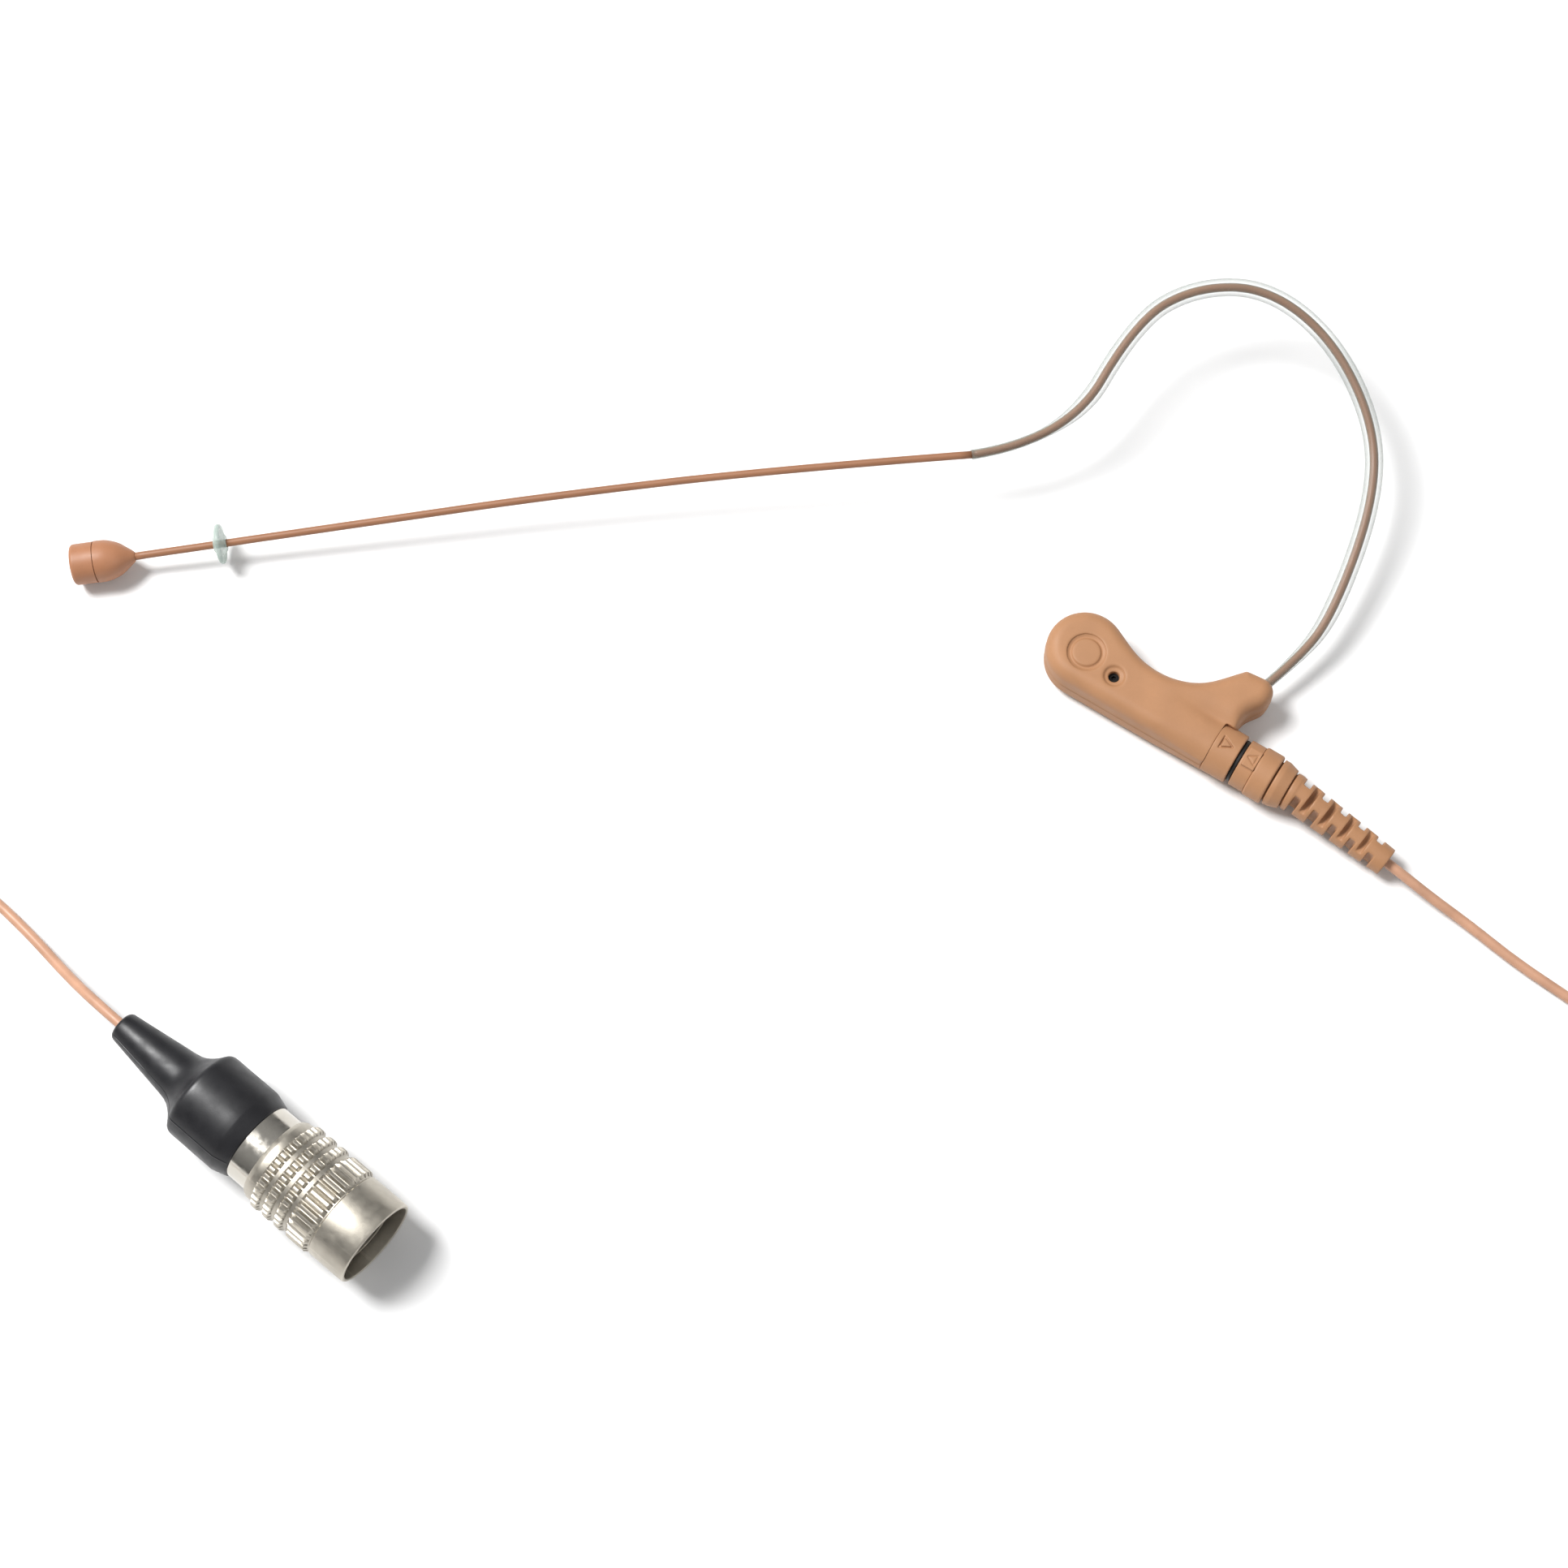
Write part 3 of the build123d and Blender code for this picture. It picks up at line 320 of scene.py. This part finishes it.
def clear(name, colour, alpha, rough):
    """Clear silicone: a thin grey-green haze that thickens towards its edges, partly where light crosses more
    of it and partly as painted shade for the dark rim that refraction gives.
    """
    look = Look(name, rough, Specular_IOR_Level=0.4)
    # opacity grows as the surface turns away from the camera: painted shade for the darker rim of a clear
    # tube
    facing = look.node("LayerWeight").outputs["Facing"]
    rim_haze_and_shade = look.node("MapRange")
    rim_haze_and_shade.inputs["From Min"].default_value = 0.1
    rim_haze_and_shade.inputs["To Min"].default_value = alpha
    rim_haze_and_shade.inputs["To Max"].default_value = min(alpha * EDGE_HAZE_AND_RIM_SHADE, 0.9)
    look.join(facing, rim_haze_and_shade.inputs["Value"])
    look.join(rim_haze_and_shade.outputs["Result"], look.shader.inputs["Alpha"])
    haze = look.noise(2.5 * MM, 4)
    base = look.ramp(haze, (NOISE_LOW, shade(colour, 0.93)), (NOISE_HIGH, shade(colour, 1.03)))
    ripple = look.bump(look.noise(0.6 * MM, 3), 0.01 * MM, 0.3)
    return look.finish(base, look.spread(look.noise(1.2 * MM, 3), rough - 0.03, rough + 0.06), ripple)


WAVE_SCALE = 0.16                      # bands of a wave texture at scale 1 are about this far apart


def cloth(name, colour, thread):
    """Plain weave of threads this far apart."""
    look = Look(name, 0.85, Sheen_Weight=0.3)
    weave = [look.node("TexWave", bands_direction=way) for way in ("X", "Y")]
    for wave in weave:
        wave.inputs["Scale"].default_value = WAVE_SCALE / thread
        look.join(look.place, wave.inputs["Vector"])
    both = look.node("Math", operation="MULTIPLY")
    look.join(weave[0].outputs["Fac"], both.inputs[0])
    look.join(weave[1].outputs["Fac"], both.inputs[1])
    base = look.ramp(both.outputs[0], (0.1, shade(colour, 0.6)), (0.8, shade(colour, 1.5)))
    return look.finish(base, None, look.bump(both.outputs[0], 0.05 * MM, 0.8))


MATERIALS = {
    "ear_plastic": soft_touch("soft_touch_tan", TAN),
    "relief_rubber": soft_touch("relief_elastomer", shade(TAN, 0.95), rough=0.5),
    "steel_small": metal("small_steel", (0.55, 0.55, 0.56), 0.3, 0.05 * MM, 0.004 * MM),
    "board": rubber("board_green", (0.01, 0.06, 0.02), 0.35),
    "chip": rubber("moulded_chip", (0.02, 0.02, 0.02), 0.4),
    "lead_wire": rubber("lead_red", (0.45, 0.04, 0.03), 0.4),
    "socket_metal": metal("turned_metal", (0.5, 0.48, 0.44), 0.28, 0.06 * MM, 0.004 * MM),
    "insulator_black": rubber("insulator", (0.014, 0.014, 0.016), 0.42, specks=0.2),
    "gold_contact": metal("gold_plate", (0.75, 0.52, 0.2), 0.25, 0.05 * MM, 0.002 * MM),
    "tube_coating": coated_metal("tube_coating", (0.30, 0.136, 0.068)),
    "clear_sleeve": clear("clear_silicone", (0.34, 0.39, 0.355), 0.1, 0.14),
    "clear_ring": clear("milky_silicone", (0.44, 0.54, 0.49), 0.45, 0.25),
    "capsule_coating": coated_metal("capsule_coating", (0.375, 0.167, 0.084)),
    "capsule_metal": metal("element_can", (0.6, 0.6, 0.6), 0.25, 0.05 * MM, 0.003 * MM),
    "cloth": cloth("grille_weave", (0.02, 0.02, 0.02), 0.12 * MM),
    "seal_black": rubber("seal_rubber", (0.012, 0.012, 0.012), 0.5),
    "cable_jacket": rubber("cable_jacket", (0.50, 0.275, 0.175), 0.42, depth=0.006 * MM, specks=0.05),
    "tie_black": cloth("tie_weave", (0.02, 0.02, 0.022), 0.35 * MM),
    "boot_black": rubber("boot_rubber", (0.009, 0.009, 0.011), 0.42, specks=0.1),
    "nickel_satin": metal("blasted_nickel", (0.50, 0.465, 0.40), 0.42, 0.09 * MM, 0.016 * MM, 0.84, 0.4),
    "nickel_polished": metal("polished_nickel", (0.62, 0.59, 0.53), 0.17, 0.3 * MM, 0.003 * MM, 0.92),
}

for row in frame["record"]["subparts"]:
    held = nodes[row["node"]].data.materials
    held.clear()
    held.append(MATERIALS[row["material_slot"]])
# the screws get near-black steel: painted shade that keeps the screw holes dark all the way down
screws = nodes["ear_shell_screws"].data.materials
screws.clear()
screws.append(metal("screw_steel_painted_hole_shade", (0.03, 0.028, 0.027), 0.45, 0.05 * MM, 0.004 * MM))


def add_mesh(name, vertices, faces, slot, body, rounded=True):
    """A closed mesh piece that takes a slot's material and rides on a body."""
    mesh = bpy.data.meshes.new(name)
    mesh.from_pydata([tuple(v) for v in vertices], [], faces)
    mesh.validate()
    work = bmesh.new()
    work.from_mesh(mesh)
    bmesh.ops.recalc_face_normals(work, faces=work.faces)
    work.to_mesh(mesh)
    work.free()
    piece = bpy.data.objects.new(name, mesh)
    bpy.context.scene.collection.objects.link(piece)
    return dress(piece, slot, body, rounded)


def dress(piece, slot, body, rounded=True):
    """Gives a piece its slot's material and its body, and shades a mesh smooth if it is rounded."""
    piece.data.materials.append(MATERIALS[slot])
    if rounded and piece.type == "MESH":
        piece.data.polygons.foreach_set("use_smooth", [True] * len(piece.data.polygons))
    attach(piece, body)
    return piece


def frames_along(line):
    """A pair of cross directions at each point of a line, turning as little as possible."""
    frames = []
    side = None
    for k, point in enumerate(line):
        ahead = (line[min(k + 1, len(line) - 1)] - line[max(k - 1, 0)]).normalized()
        if side is None:
            side = ahead.cross(Vector((0, 0, 1))).normalized()
        side = (side - ahead * side.dot(ahead)).normalized()
        frames.append((side, ahead.cross(side)))
    return frames


def loft(rings, closed=False):
    """Vertices and faces over rings of equally many points, capped unless closed on itself."""
    count = len(rings[0])
    vertices = [point for ring in rings for point in ring]
    faces = []
    for k in range(len(rings) if closed else len(rings) - 1):
        low, high = k * count, (k + 1) % len(rings) * count
        for j in range(count):
            n = (j + 1) % count
            faces.append((low + j, low + n, high + n, high + j))
    if not closed:
        faces.append(tuple(reversed(range(count))))
        faces.append(tuple(range(len(vertices) - count, len(vertices))))
    return vertices, faces


def ring_round(point, cross, radius, sides=32):
    """A circle of points round a point, in the plane of two cross directions."""
    side, other = cross
    angles = [2 * math.pi * j / sides for j in range(sides)]
    return [point + (side * math.cos(angle) + other * math.sin(angle)) * radius for angle in angles]


def lengths_of(line):
    """How far along the line each point is."""
    gone = [0.0]
    for a, b in zip(line, line[1:]):
        gone.append(gone[-1] + (b - a).length)
    return gone


# ---------------------------------------------------------------- boom and hook
TUBE_STEPS = 24                        # points on the line for each point of its route
boom_line = line_of(BOOM_ROUTE, TUBE_STEPS)
rings = [ring_round(p, c, BOOM_R) for p, c in zip(boom_line, frames_along(boom_line))]
boom = add_mesh("boom", *loft(rings), "tube_coating", "headset")
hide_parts("boom_tube")

hook_line = line_of(HOOK_ROUTE, TUBE_STEPS)
hook_cross = frames_along(hook_line)
hook_gone = lengths_of(hook_line)
rings = [ring_round(p, c, HOOK_R) for p, c in zip(hook_line, hook_cross)]
hook_wire = add_mesh("hook_wire", *loft(rings), "tube_coating", "headset")
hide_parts("ear_hook_wire")

FILM_R, SLEEVE_GAP = 0.63 * MM, 0.03 * MM
SWELL_FROM, SWELL_TO = 8 * MM, 18 * MM           # where the film grows to the full sleeve
THIN_FROM, THIN_TO = 91 * MM, 105.2 * MM          # where the sleeve thins down again above the boss
outer, inner = [], []
for point, cross, gone in zip(hook_line, hook_cross, hook_gone):
    if gone > THIN_TO:
        break
    swollen = smooth((gone - SWELL_FROM) / (SWELL_TO - SWELL_FROM))
    grown = swollen * (1 - smooth((gone - THIN_FROM) / (THIN_TO - THIN_FROM)))
    outer.append(ring_round(point, cross, FILM_R + (SLEEVE_R - FILM_R) * grown))
    inner.append(ring_round(point, cross, HOOK_R + SLEEVE_GAP))
tube_wall = loft(outer + inner[::-1], closed=True)
sleeve = add_mesh("clear_sleeve", *tube_wall, "clear_sleeve", "headset")
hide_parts("hook_sleeve")

# ---------------------------------------------------------------- moulded pieces
WELD = 0.002 * MM                                # corners of the CAD mesh nearer than this are one
AXIS_T, AXIS_Z = -1.95, 3.35                     # plug axis in the ear piece's own plane
EAR_ALONG, EAR_ACROSS = direction(-32), direction(58)


def moulded(name, source, voxel, passes, slot, body, shape=None):
    """A CAD node's solid with the small soft radii that its mould gives it. Voxels are in millimetres."""
    work = bmesh.new()
    work.from_mesh(nodes[source].data)
    bmesh.ops.remove_doubles(work, verts=work.verts, dist=WELD)
    bmesh.ops.scale(work, vec=(1 / MM,) * 3, verts=work.verts)
    mesh = bpy.data.meshes.new(name)
    work.to_mesh(mesh)
    work.free()
    piece = bpy.data.objects.new(name, mesh)
    bpy.context.scene.collection.objects.link(piece)
    remesh = piece.modifiers.new("even", "REMESH")
    remesh.mode = "VOXEL"
    remesh.voxel_size = voxel
    soften = piece.modifiers.new("soften", "SMOOTH")
    soften.factor = 0.5
    soften.iterations = passes
    bpy.context.view_layer.update()
    evaluated = piece.evaluated_get(bpy.context.evaluated_depsgraph_get())
    done = bpy.data.meshes.new_from_object(evaluated)
    piece.modifiers.clear()
    piece.data = done
    if shape is not None:
        moved = [shape(vertex.co, vertex.normal) for vertex in done.vertices]
        for vertex, place in zip(done.vertices, moved):
            vertex.co = place
    for vertex in done.vertices:
        vertex.co *= MM
    done.materials.clear()
    dress(piece, slot, body)
    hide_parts(source)


def soft_min(a, b, sharpness):
    """The lower of two values, with a soft bend where they cross."""
    low = min(a, b)
    total = math.exp(sharpness * (low - a)) + math.exp(sharpness * (low - b))
    return low - math.log(total) / sharpness


BARREL_R, BORE_WALL_R = 3.36, 3.0                # the barrel's outside, and what is left alone inside it
BARREL_FROM, BARREL_GROWS = 11.5, 7.5            # where it starts along the ear piece, and over what length
SLOPE_FROM, SLOPE_HEIGHT, SLOPE_RISE = 2.3, 2.5, 0.55    # the shoulder that runs from it up to the hook
ROOF_BEND, SURFACE_BEND = 3, 4                   # how sharply these surfaces meet
PARTING_PUSH, PARTING_BAND = 0.09, 0.32          # closes the parting line to a fine groove


def ear_shape(point, normal):
    """Rounds the ear piece's lower end into a barrel round the plug axis, and keeps the parting line fine."""
    s, t, up = point.dot(EAR_ALONG), point.dot(EAR_ACROSS), point.z - AXIS_Z
    away = t - AXIS_T
    barrel = math.sqrt(max(BARREL_R ** 2 - away ** 2, 0.01))
    slope = SLOPE_HEIGHT + SLOPE_RISE * (away - SLOPE_FROM)
    roof = -soft_min(-barrel, -slope, ROOF_BEND)
    if math.hypot(away, up) > BORE_WALL_R:
        lowered = math.copysign(min(soft_min(abs(up), roof, SURFACE_BEND), abs(up)), up)
        up += (lowered - up) * smooth((s - BARREL_FROM) / BARREL_GROWS)
    push = PARTING_PUSH * (1 - smooth(abs(up) / PARTING_BAND))
    outward = Vector((normal.x, normal.y, 0)) * push
    return EAR_ALONG * s + EAR_ACROSS * t + Vector((0, 0, AXIS_Z + up)) + outward


moulded("ear_outer_half", "ear_shell_outer", 0.13, 7, "ear_plastic", "headset", ear_shape)
moulded("ear_inner_half", "ear_shell_inner", 0.13, 7, "ear_plastic", "headset", ear_shape)
moulded("collar", "socket_collar", 0.08, 3, "ear_plastic", "headset")
moulded("ring_with_arrow", "plug_ring", 0.08, 3, "ear_plastic", "cable_set")
moulded("grip_ring", "plug_grip", 0.1, 4, "ear_plastic", "cable_set")
moulded("back_nut", "plug_nut", 0.1, 4, "ear_plastic", "cable_set")
moulded("bend_relief", "strain_relief", 0.09, 14, "relief_rubber", "cable_set")

# ---------------------------------------------------------------- connector
CONN_DIR = direction(-40)
CONN_TIP = Vector((-116.6, -48.1, 6.0)) * MM
CONN_UP = Vector((0, 0, 1))
CONN_SIDE = CONN_DIR.cross(CONN_UP)


def turned(profile, columns, radius_at=None, start=CONN_TIP, axis=CONN_DIR, side=CONN_SIDE):
    """Rings of a profile of (along, radius) turned about an axis, the connector's unless told."""
    made = []
    up = side.cross(axis)
    for q, radius in profile:
        centre = start + axis * q * MM
        ring = []
        for j in range(columns):
            angle = 2 * math.pi * j / columns
            r = radius if radius_at is None else radius_at(q, radius, angle)
            ring.append(centre + (side * math.cos(angle) + up * math.sin(angle)) * r * MM)
        made.append(ring)
    return made


# the cover disc in the ear piece: a flat middle in a soft moat
DISC_AT = (EAR_ALONG * 0.4 + EAR_ACROSS * -0.7) * MM
DISC_PROFILE = (
    (5.97, 0.01), (5.97, 2.3), (6.05, 2.36), (6.3, 2.42), (6.5, 2.56), (6.57, 2.6), (6.575, 2.55),
    (6.52, 2.42), (6.43, 2.28), (6.37, 2.15), (6.34, 2.04), (6.35, 1.95), (6.40, 1.87), (6.50, 1.79),
    (6.57, 1.72), (6.6, 1.62), (6.61, 1.4), (6.62, 0.8), (6.62, 0.01),
)
RING_COLUMNS = 96
disc_rings = turned(DISC_PROFILE, RING_COLUMNS, None, DISC_AT, CONN_UP, EAR_ALONG)
disc = add_mesh("ear_disc", *loft(disc_rings), "ear_plastic", "headset")
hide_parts("ear_cover_disc")

# the knurled coupling sleeve
TEETH, TOOTH_STEPS = 36, 10
KNURL_BASE, TOOTH_HIGH = 5.6, 0.42
TOOTH_TOP, TOOTH_FLANK = 0.38, 0.40              # widths in half pitches
END_FLANK, END_LIFT = 0.34, 0.15                 # length of a tooth's pointed end, and its blunt tip
VALLEY_DIP = 0.06
TOOTH_ROWS = ((26.35, 27.7), (28.2, 29.55), (30.05, 31.4), (31.9, 35.35))
ROW_STEPS = (0, 0.12, 0.24, 0.36, 0.5, 0.64, 0.76, 0.88, 1)


def tooth(q, radius, angle):
    """Radius of the knurl: teeth with sloping flanks and pointed ends, and a little dip between them."""
    if radius != KNURL_BASE:
        return radius
    away = abs((angle * TEETH / (2 * math.pi)) % 1 - 0.5) * 2
    flank = 1 - (away - TOOTH_TOP) / TOOTH_FLANK
    for start, end in TOOTH_ROWS:
        if start < q < end:
            ends = min(q - start, end - q) / END_FLANK
            rise = max(min(flank, ends + END_LIFT, 1.0), 0)
            dip = smooth((away - 0.75) / 0.2) * min(ends, 1)
            return KNURL_BASE + TOOTH_HIGH * rise - VALLEY_DIP * dip
    return radius


outside = [(24.9, 5.3), (25.15, 5.46), (25.45, 5.58), (25.5, KNURL_BASE), (26.2, KNURL_BASE)]
for start, end in TOOTH_ROWS:
    outside += [(start + (end - start) * step, KNURL_BASE) for step in ROW_STEPS]
    outside.append((end + 0.1, KNURL_BASE))
outside += [
    (35.5, KNURL_BASE), (35.65, 5.74), (35.8, 5.76), (38.2, 5.77), (40.6, 5.76), (40.8, 5.7), (40.9, 5.58),
]
inside = [
    (40.9, 5.36), (40.82, 5.27), (40.6, 5.25), (37.4, 5.25), (34.2, 5.25), (34.2, 4.5), (34.2, 3.8),
    (33.1, 3.8), (33.1, 4.5), (33.1, 5.15), (29.0, 5.15), (25.0, 5.15), (24.9, 5.2),
]
sleeve_rings = turned(outside + inside, TEETH * TOOTH_STEPS, tooth)
sleeve_mesh = add_mesh("knurled_sleeve", *loft(sleeve_rings, closed=True), "nickel_satin", "lock_sleeve",
                       rounded=False)
sleeve_mesh.data.set_sharp_from_angle(angle=math.radians(28))
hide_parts("coupling_sleeve")

# the low collar on the capsule's housing that closes its seam to a fine line
CAPSULE_FRONT, CAPSULE_BACK = metres([(-127.2, 12.25, 2.85), (-119.33, 13.35, 3.1)])
CAPSULE_DIR = (CAPSULE_BACK - CAPSULE_FRONT).normalized()
CAPSULE_SIDE = CAPSULE_DIR.cross(CONN_UP).normalized()
SEAM_PROFILE = ((2.955, 2.27), (2.955, 2.49), (2.965, 2.515), (2.99, 2.53), (3.06, 2.53), (3.06, 2.27))
seam_rings = turned(SEAM_PROFILE, RING_COLUMNS, None, CAPSULE_FRONT, CAPSULE_DIR, CAPSULE_SIDE)
add_mesh("seam_collar", *loft(seam_rings, closed=True), "capsule_coating", "headset", rounded=False)

# the boot, with the fine ridge that its mould leaves along both sides
BOOT_COLUMNS = 360
RIDGE_COLUMNS = (215, 35)
RIDGE_FROM, RIDGE_TO, RIDGE_HIGH = 0.2, 21.9, 0.045
CONE_FROM, CONE_R, CONE_SLOPE = 0.42, 1.95, 0.1377
BOOT_R = 5.85


def ridge(q, radius, angle):
    """Radius of the boot, a little more along the two lines where its mould parted."""
    column = round(angle * BOOT_COLUMNS / (2 * math.pi))
    on_ridge = column in RIDGE_COLUMNS and RIDGE_FROM < q < RIDGE_TO and radius > 1.9
    return radius + RIDGE_HIGH if on_ridge else radius


boot_outside = [
    (0, 0.66), (0, 1.0), (0, 1.55), (0.06, 1.72), (0.2, 1.85), (CONE_FROM, CONE_R),
    *[(q, CONE_R + (q - CONE_FROM) * CONE_SLOPE) for q in (1.5, 3.0, 4.5, 6.0, 7.5, 9.0)],
    (9.5, 3.21), (10.1, 3.34), (10.7, 3.58), (11.2, 3.9), (11.7, 4.3), (12.1, 4.7), (12.45, 5.09),
    (12.7, 5.42), (12.85, 5.6), (13.05, 5.74), (13.3, 5.82), (13.6, BOOT_R),
    *[(q, BOOT_R) for q in (14.5, 16.0, 17.5, 19.0, 19.9)],
    (20.1, 5.82), (20.5, 5.71), (21.2, 5.5), (21.8, 5.32), (21.95, 5.25), (22.0, 5.17),
]
boot_inside = [
    (22.0, 4.6), (21.95, 4.5), (18.0, 4.5), (14.2, 4.5), (14.2, 2.5), (14.2, 0.66), (7.0, 0.66),
]
boot_rings = turned(boot_outside + boot_inside, BOOT_COLUMNS, ridge)
boot = add_mesh("moulded_boot", *loft(boot_rings, closed=True), "boot_black", "cable_set")
boot.data.set_sharp_from_angle(angle=math.radians(40))
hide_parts("connector_boot")

# the spring behind the coupling sleeve, at one fixed length: the real one closes up as the sleeve is pulled
# back, this one does not
SPRING_FROM, SPRING_TO, SPRING_ROOM = 29.45, 33.0, 2.2
SPRING_TURNS, SPRING_R, SPRING_WIRE_R = 3, 4.55, 0.18
SPRING_STEPS, WIRE_SIDES = 48, 12
SPRING_END = 1.15 * SPRING_WIRE_R                # from the spring's ends to the middle of its wire
spring_points = SPRING_TURNS * SPRING_STEPS
rings = []
for k in range(spring_points + 1):
    angle = 2 * math.pi * k / SPRING_STEPS
    spoke = CONN_SIDE * math.cos(angle) + CONN_UP * math.sin(angle)
    rise = (SPRING_TO - SPRING_FROM - 2 * SPRING_END) * k / spring_points
    centre = CONN_TIP + (CONN_DIR * (SPRING_FROM + SPRING_END + rise) + spoke * SPRING_R) * MM
    rings.append(ring_round(centre, (spoke, CONN_DIR), SPRING_WIRE_R * MM, WIRE_SIDES))
spring = add_mesh("return_spring", *loft(rings), "steel_small", "cable_set")
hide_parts("coupling_spring")
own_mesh(spring)

# ---------------------------------------------------------------- the strap round the coil
STRAP_WIDE, STRAP_THICK = 3.2, 0.44
STRAP_HALF = (4.03, 2.86)                        # half sizes of its loop, radially and in height
STRAP_CORNER, CORNER_STEPS = 1.45, 6
STRAP_START = -0.4                               # height on its outer side where it starts
LAP_OUT, LAP_CORNER = STRAP_THICK + 0.04, 0.4    # how much larger the second lap is
STRAP_TAIL = 11                                  # points that the free end runs on over the first lap
STRAP_OUT, STRAP_ALONG = direction(200), direction(290)
STRAP_AT = COIL_CENTRE + STRAP_OUT * 7.15 * MM + Vector((0, 0, 3.15)) * MM


def loop_line(half_wide, half_high, corner, steps):
    """Points and outward directions round a rounded rectangle, from its outer side."""
    made = []
    corners = ((1, 1, 0), (-1, 1, 90), (-1, -1, 180), (1, -1, 270))
    for sign_x, sign_z, start in corners:
        for k in range(steps + 1):
            a = math.radians(start + 90 * k / steps)
            out = (math.cos(a), math.sin(a))
            made.append((sign_x * (half_wide - corner) + out[0] * corner,
                         sign_z * (half_high - corner) + out[1] * corner, out))
    return [(half_wide, STRAP_START, (1, 0)), *made, (half_wide, STRAP_START, (1, 0))]


lower = loop_line(*STRAP_HALF, STRAP_CORNER, CORNER_STEPS)
upper = loop_line(STRAP_HALF[0] + LAP_OUT, STRAP_HALF[1] + LAP_OUT, STRAP_CORNER + LAP_CORNER, CORNER_STEPS)
strap_path = lower[:-1] + upper[:STRAP_TAIL]

# half the strap's section, with the groove of its sewn edge: (in from the edge, height)
half_w, half_t = STRAP_WIDE / 2, STRAP_THICK / 2
SEWN_EDGE = (
    (0, half_t * 0.5), (0.12, half_t), (0.3, half_t), (0.36, half_t - 0.07), (0.46, half_t - 0.07),
    (0.52, half_t),
)
strap_section = [(-half_w, -half_t * 0.5), (-half_w + 0.12, -half_t), (half_w - 0.12, -half_t),
                 (half_w, -half_t * 0.5)]
strap_section += [(half_w - across, high) for across, high in SEWN_EDGE]
strap_section += [(across - half_w, high) for across, high in reversed(SEWN_EDGE)]
rings = []
for x, z, out in strap_path:
    outward = STRAP_OUT * out[0] + Vector((0, 0, out[1]))
    centre = STRAP_OUT * x + Vector((0, 0, z))
    rings.append([STRAP_AT + (centre + STRAP_ALONG * across + outward * high) * MM
                  for across, high in strap_section])
strap = add_mesh("coil_strap", *loft(rings), "tie_black", "cable_set", rounded=False)
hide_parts("cable_tie")

# ---------------------------------------------------------------- cable
cable = nurbs("cable", LEAD_ROUTE + coil_points() + RUN_ROUTE, CABLE_D)
dress(cable, "cable_jacket", "cable_set")
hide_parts("cable_lead", "cable_coil", "cable_run")

# ---------------------------------------------------------------- floor and light
FLOOR_SIZE, FLOOR_DROP = 6, 0.1 * MM
bpy.ops.mesh.primitive_plane_add(size=FLOOR_SIZE, location=(0, 0, -FLOOR_DROP))
floor = bpy.context.object
floor.name = "floor"
paper = Look("paper_floor", 0.7, Specular_IOR_Level=0.2)
pale = paper.ramp(paper.noise(50 * MM, 3), (NOISE_LOW, (0.86, 0.86, 0.86)), (NOISE_HIGH, (0.88, 0.88, 0.88)))
fibres = paper.bump(paper.noise(0.4 * MM, 3), 0.01 * MM, 0.2)
floor.data.materials.append(paper.finish(pale, None, fibres))

world = bpy.data.worlds.new("studio")
world.use_nodes = True
sky = world.node_tree
height = sky.nodes.new("ShaderNodeSeparateXYZ")
sky.links.new(sky.nodes.new("ShaderNodeTexCoord").outputs["Generated"], height.inputs[0])
walls = sky.nodes.new("ShaderNodeValToRGB")
for element, (at, grey) in zip(walls.color_ramp.elements, ((0.0, 0.32), (0.75, 1.0))):
    element.position = at
    element.color = (grey, grey, grey, 1)
sky.links.new(height.outputs["Z"], walls.inputs["Fac"])
sky.links.new(walls.outputs["Color"], sky.nodes["Background"].inputs["Color"])
sky.nodes["Background"].inputs["Strength"].default_value = 0.4
bpy.context.scene.world = world
bpy.context.scene.view_settings.view_transform = "Standard"


def soft_light(name, at, aim, size, power):
    """A square lamp of this side and power in watts, aimed at a point."""
    data = bpy.data.lights.new(name, "AREA")
    data.shape = "SQUARE"
    data.size = size
    data.energy = power
    light = bpy.data.objects.new(name, data)
    light.location = at
    light.rotation_euler = (Vector(aim) - Vector(at)).to_track_quat("-Z", "Y").to_euler()
    bpy.context.scene.collection.objects.link(light)


soft_light("key", (-0.5, 0.2, 0.8), (-0.03, -0.02, 0), 0.34, 12)
soft_light("fill", (0.55, -0.4, 0.6), (-0.03, -0.03, 0), 0.5, 1.3)
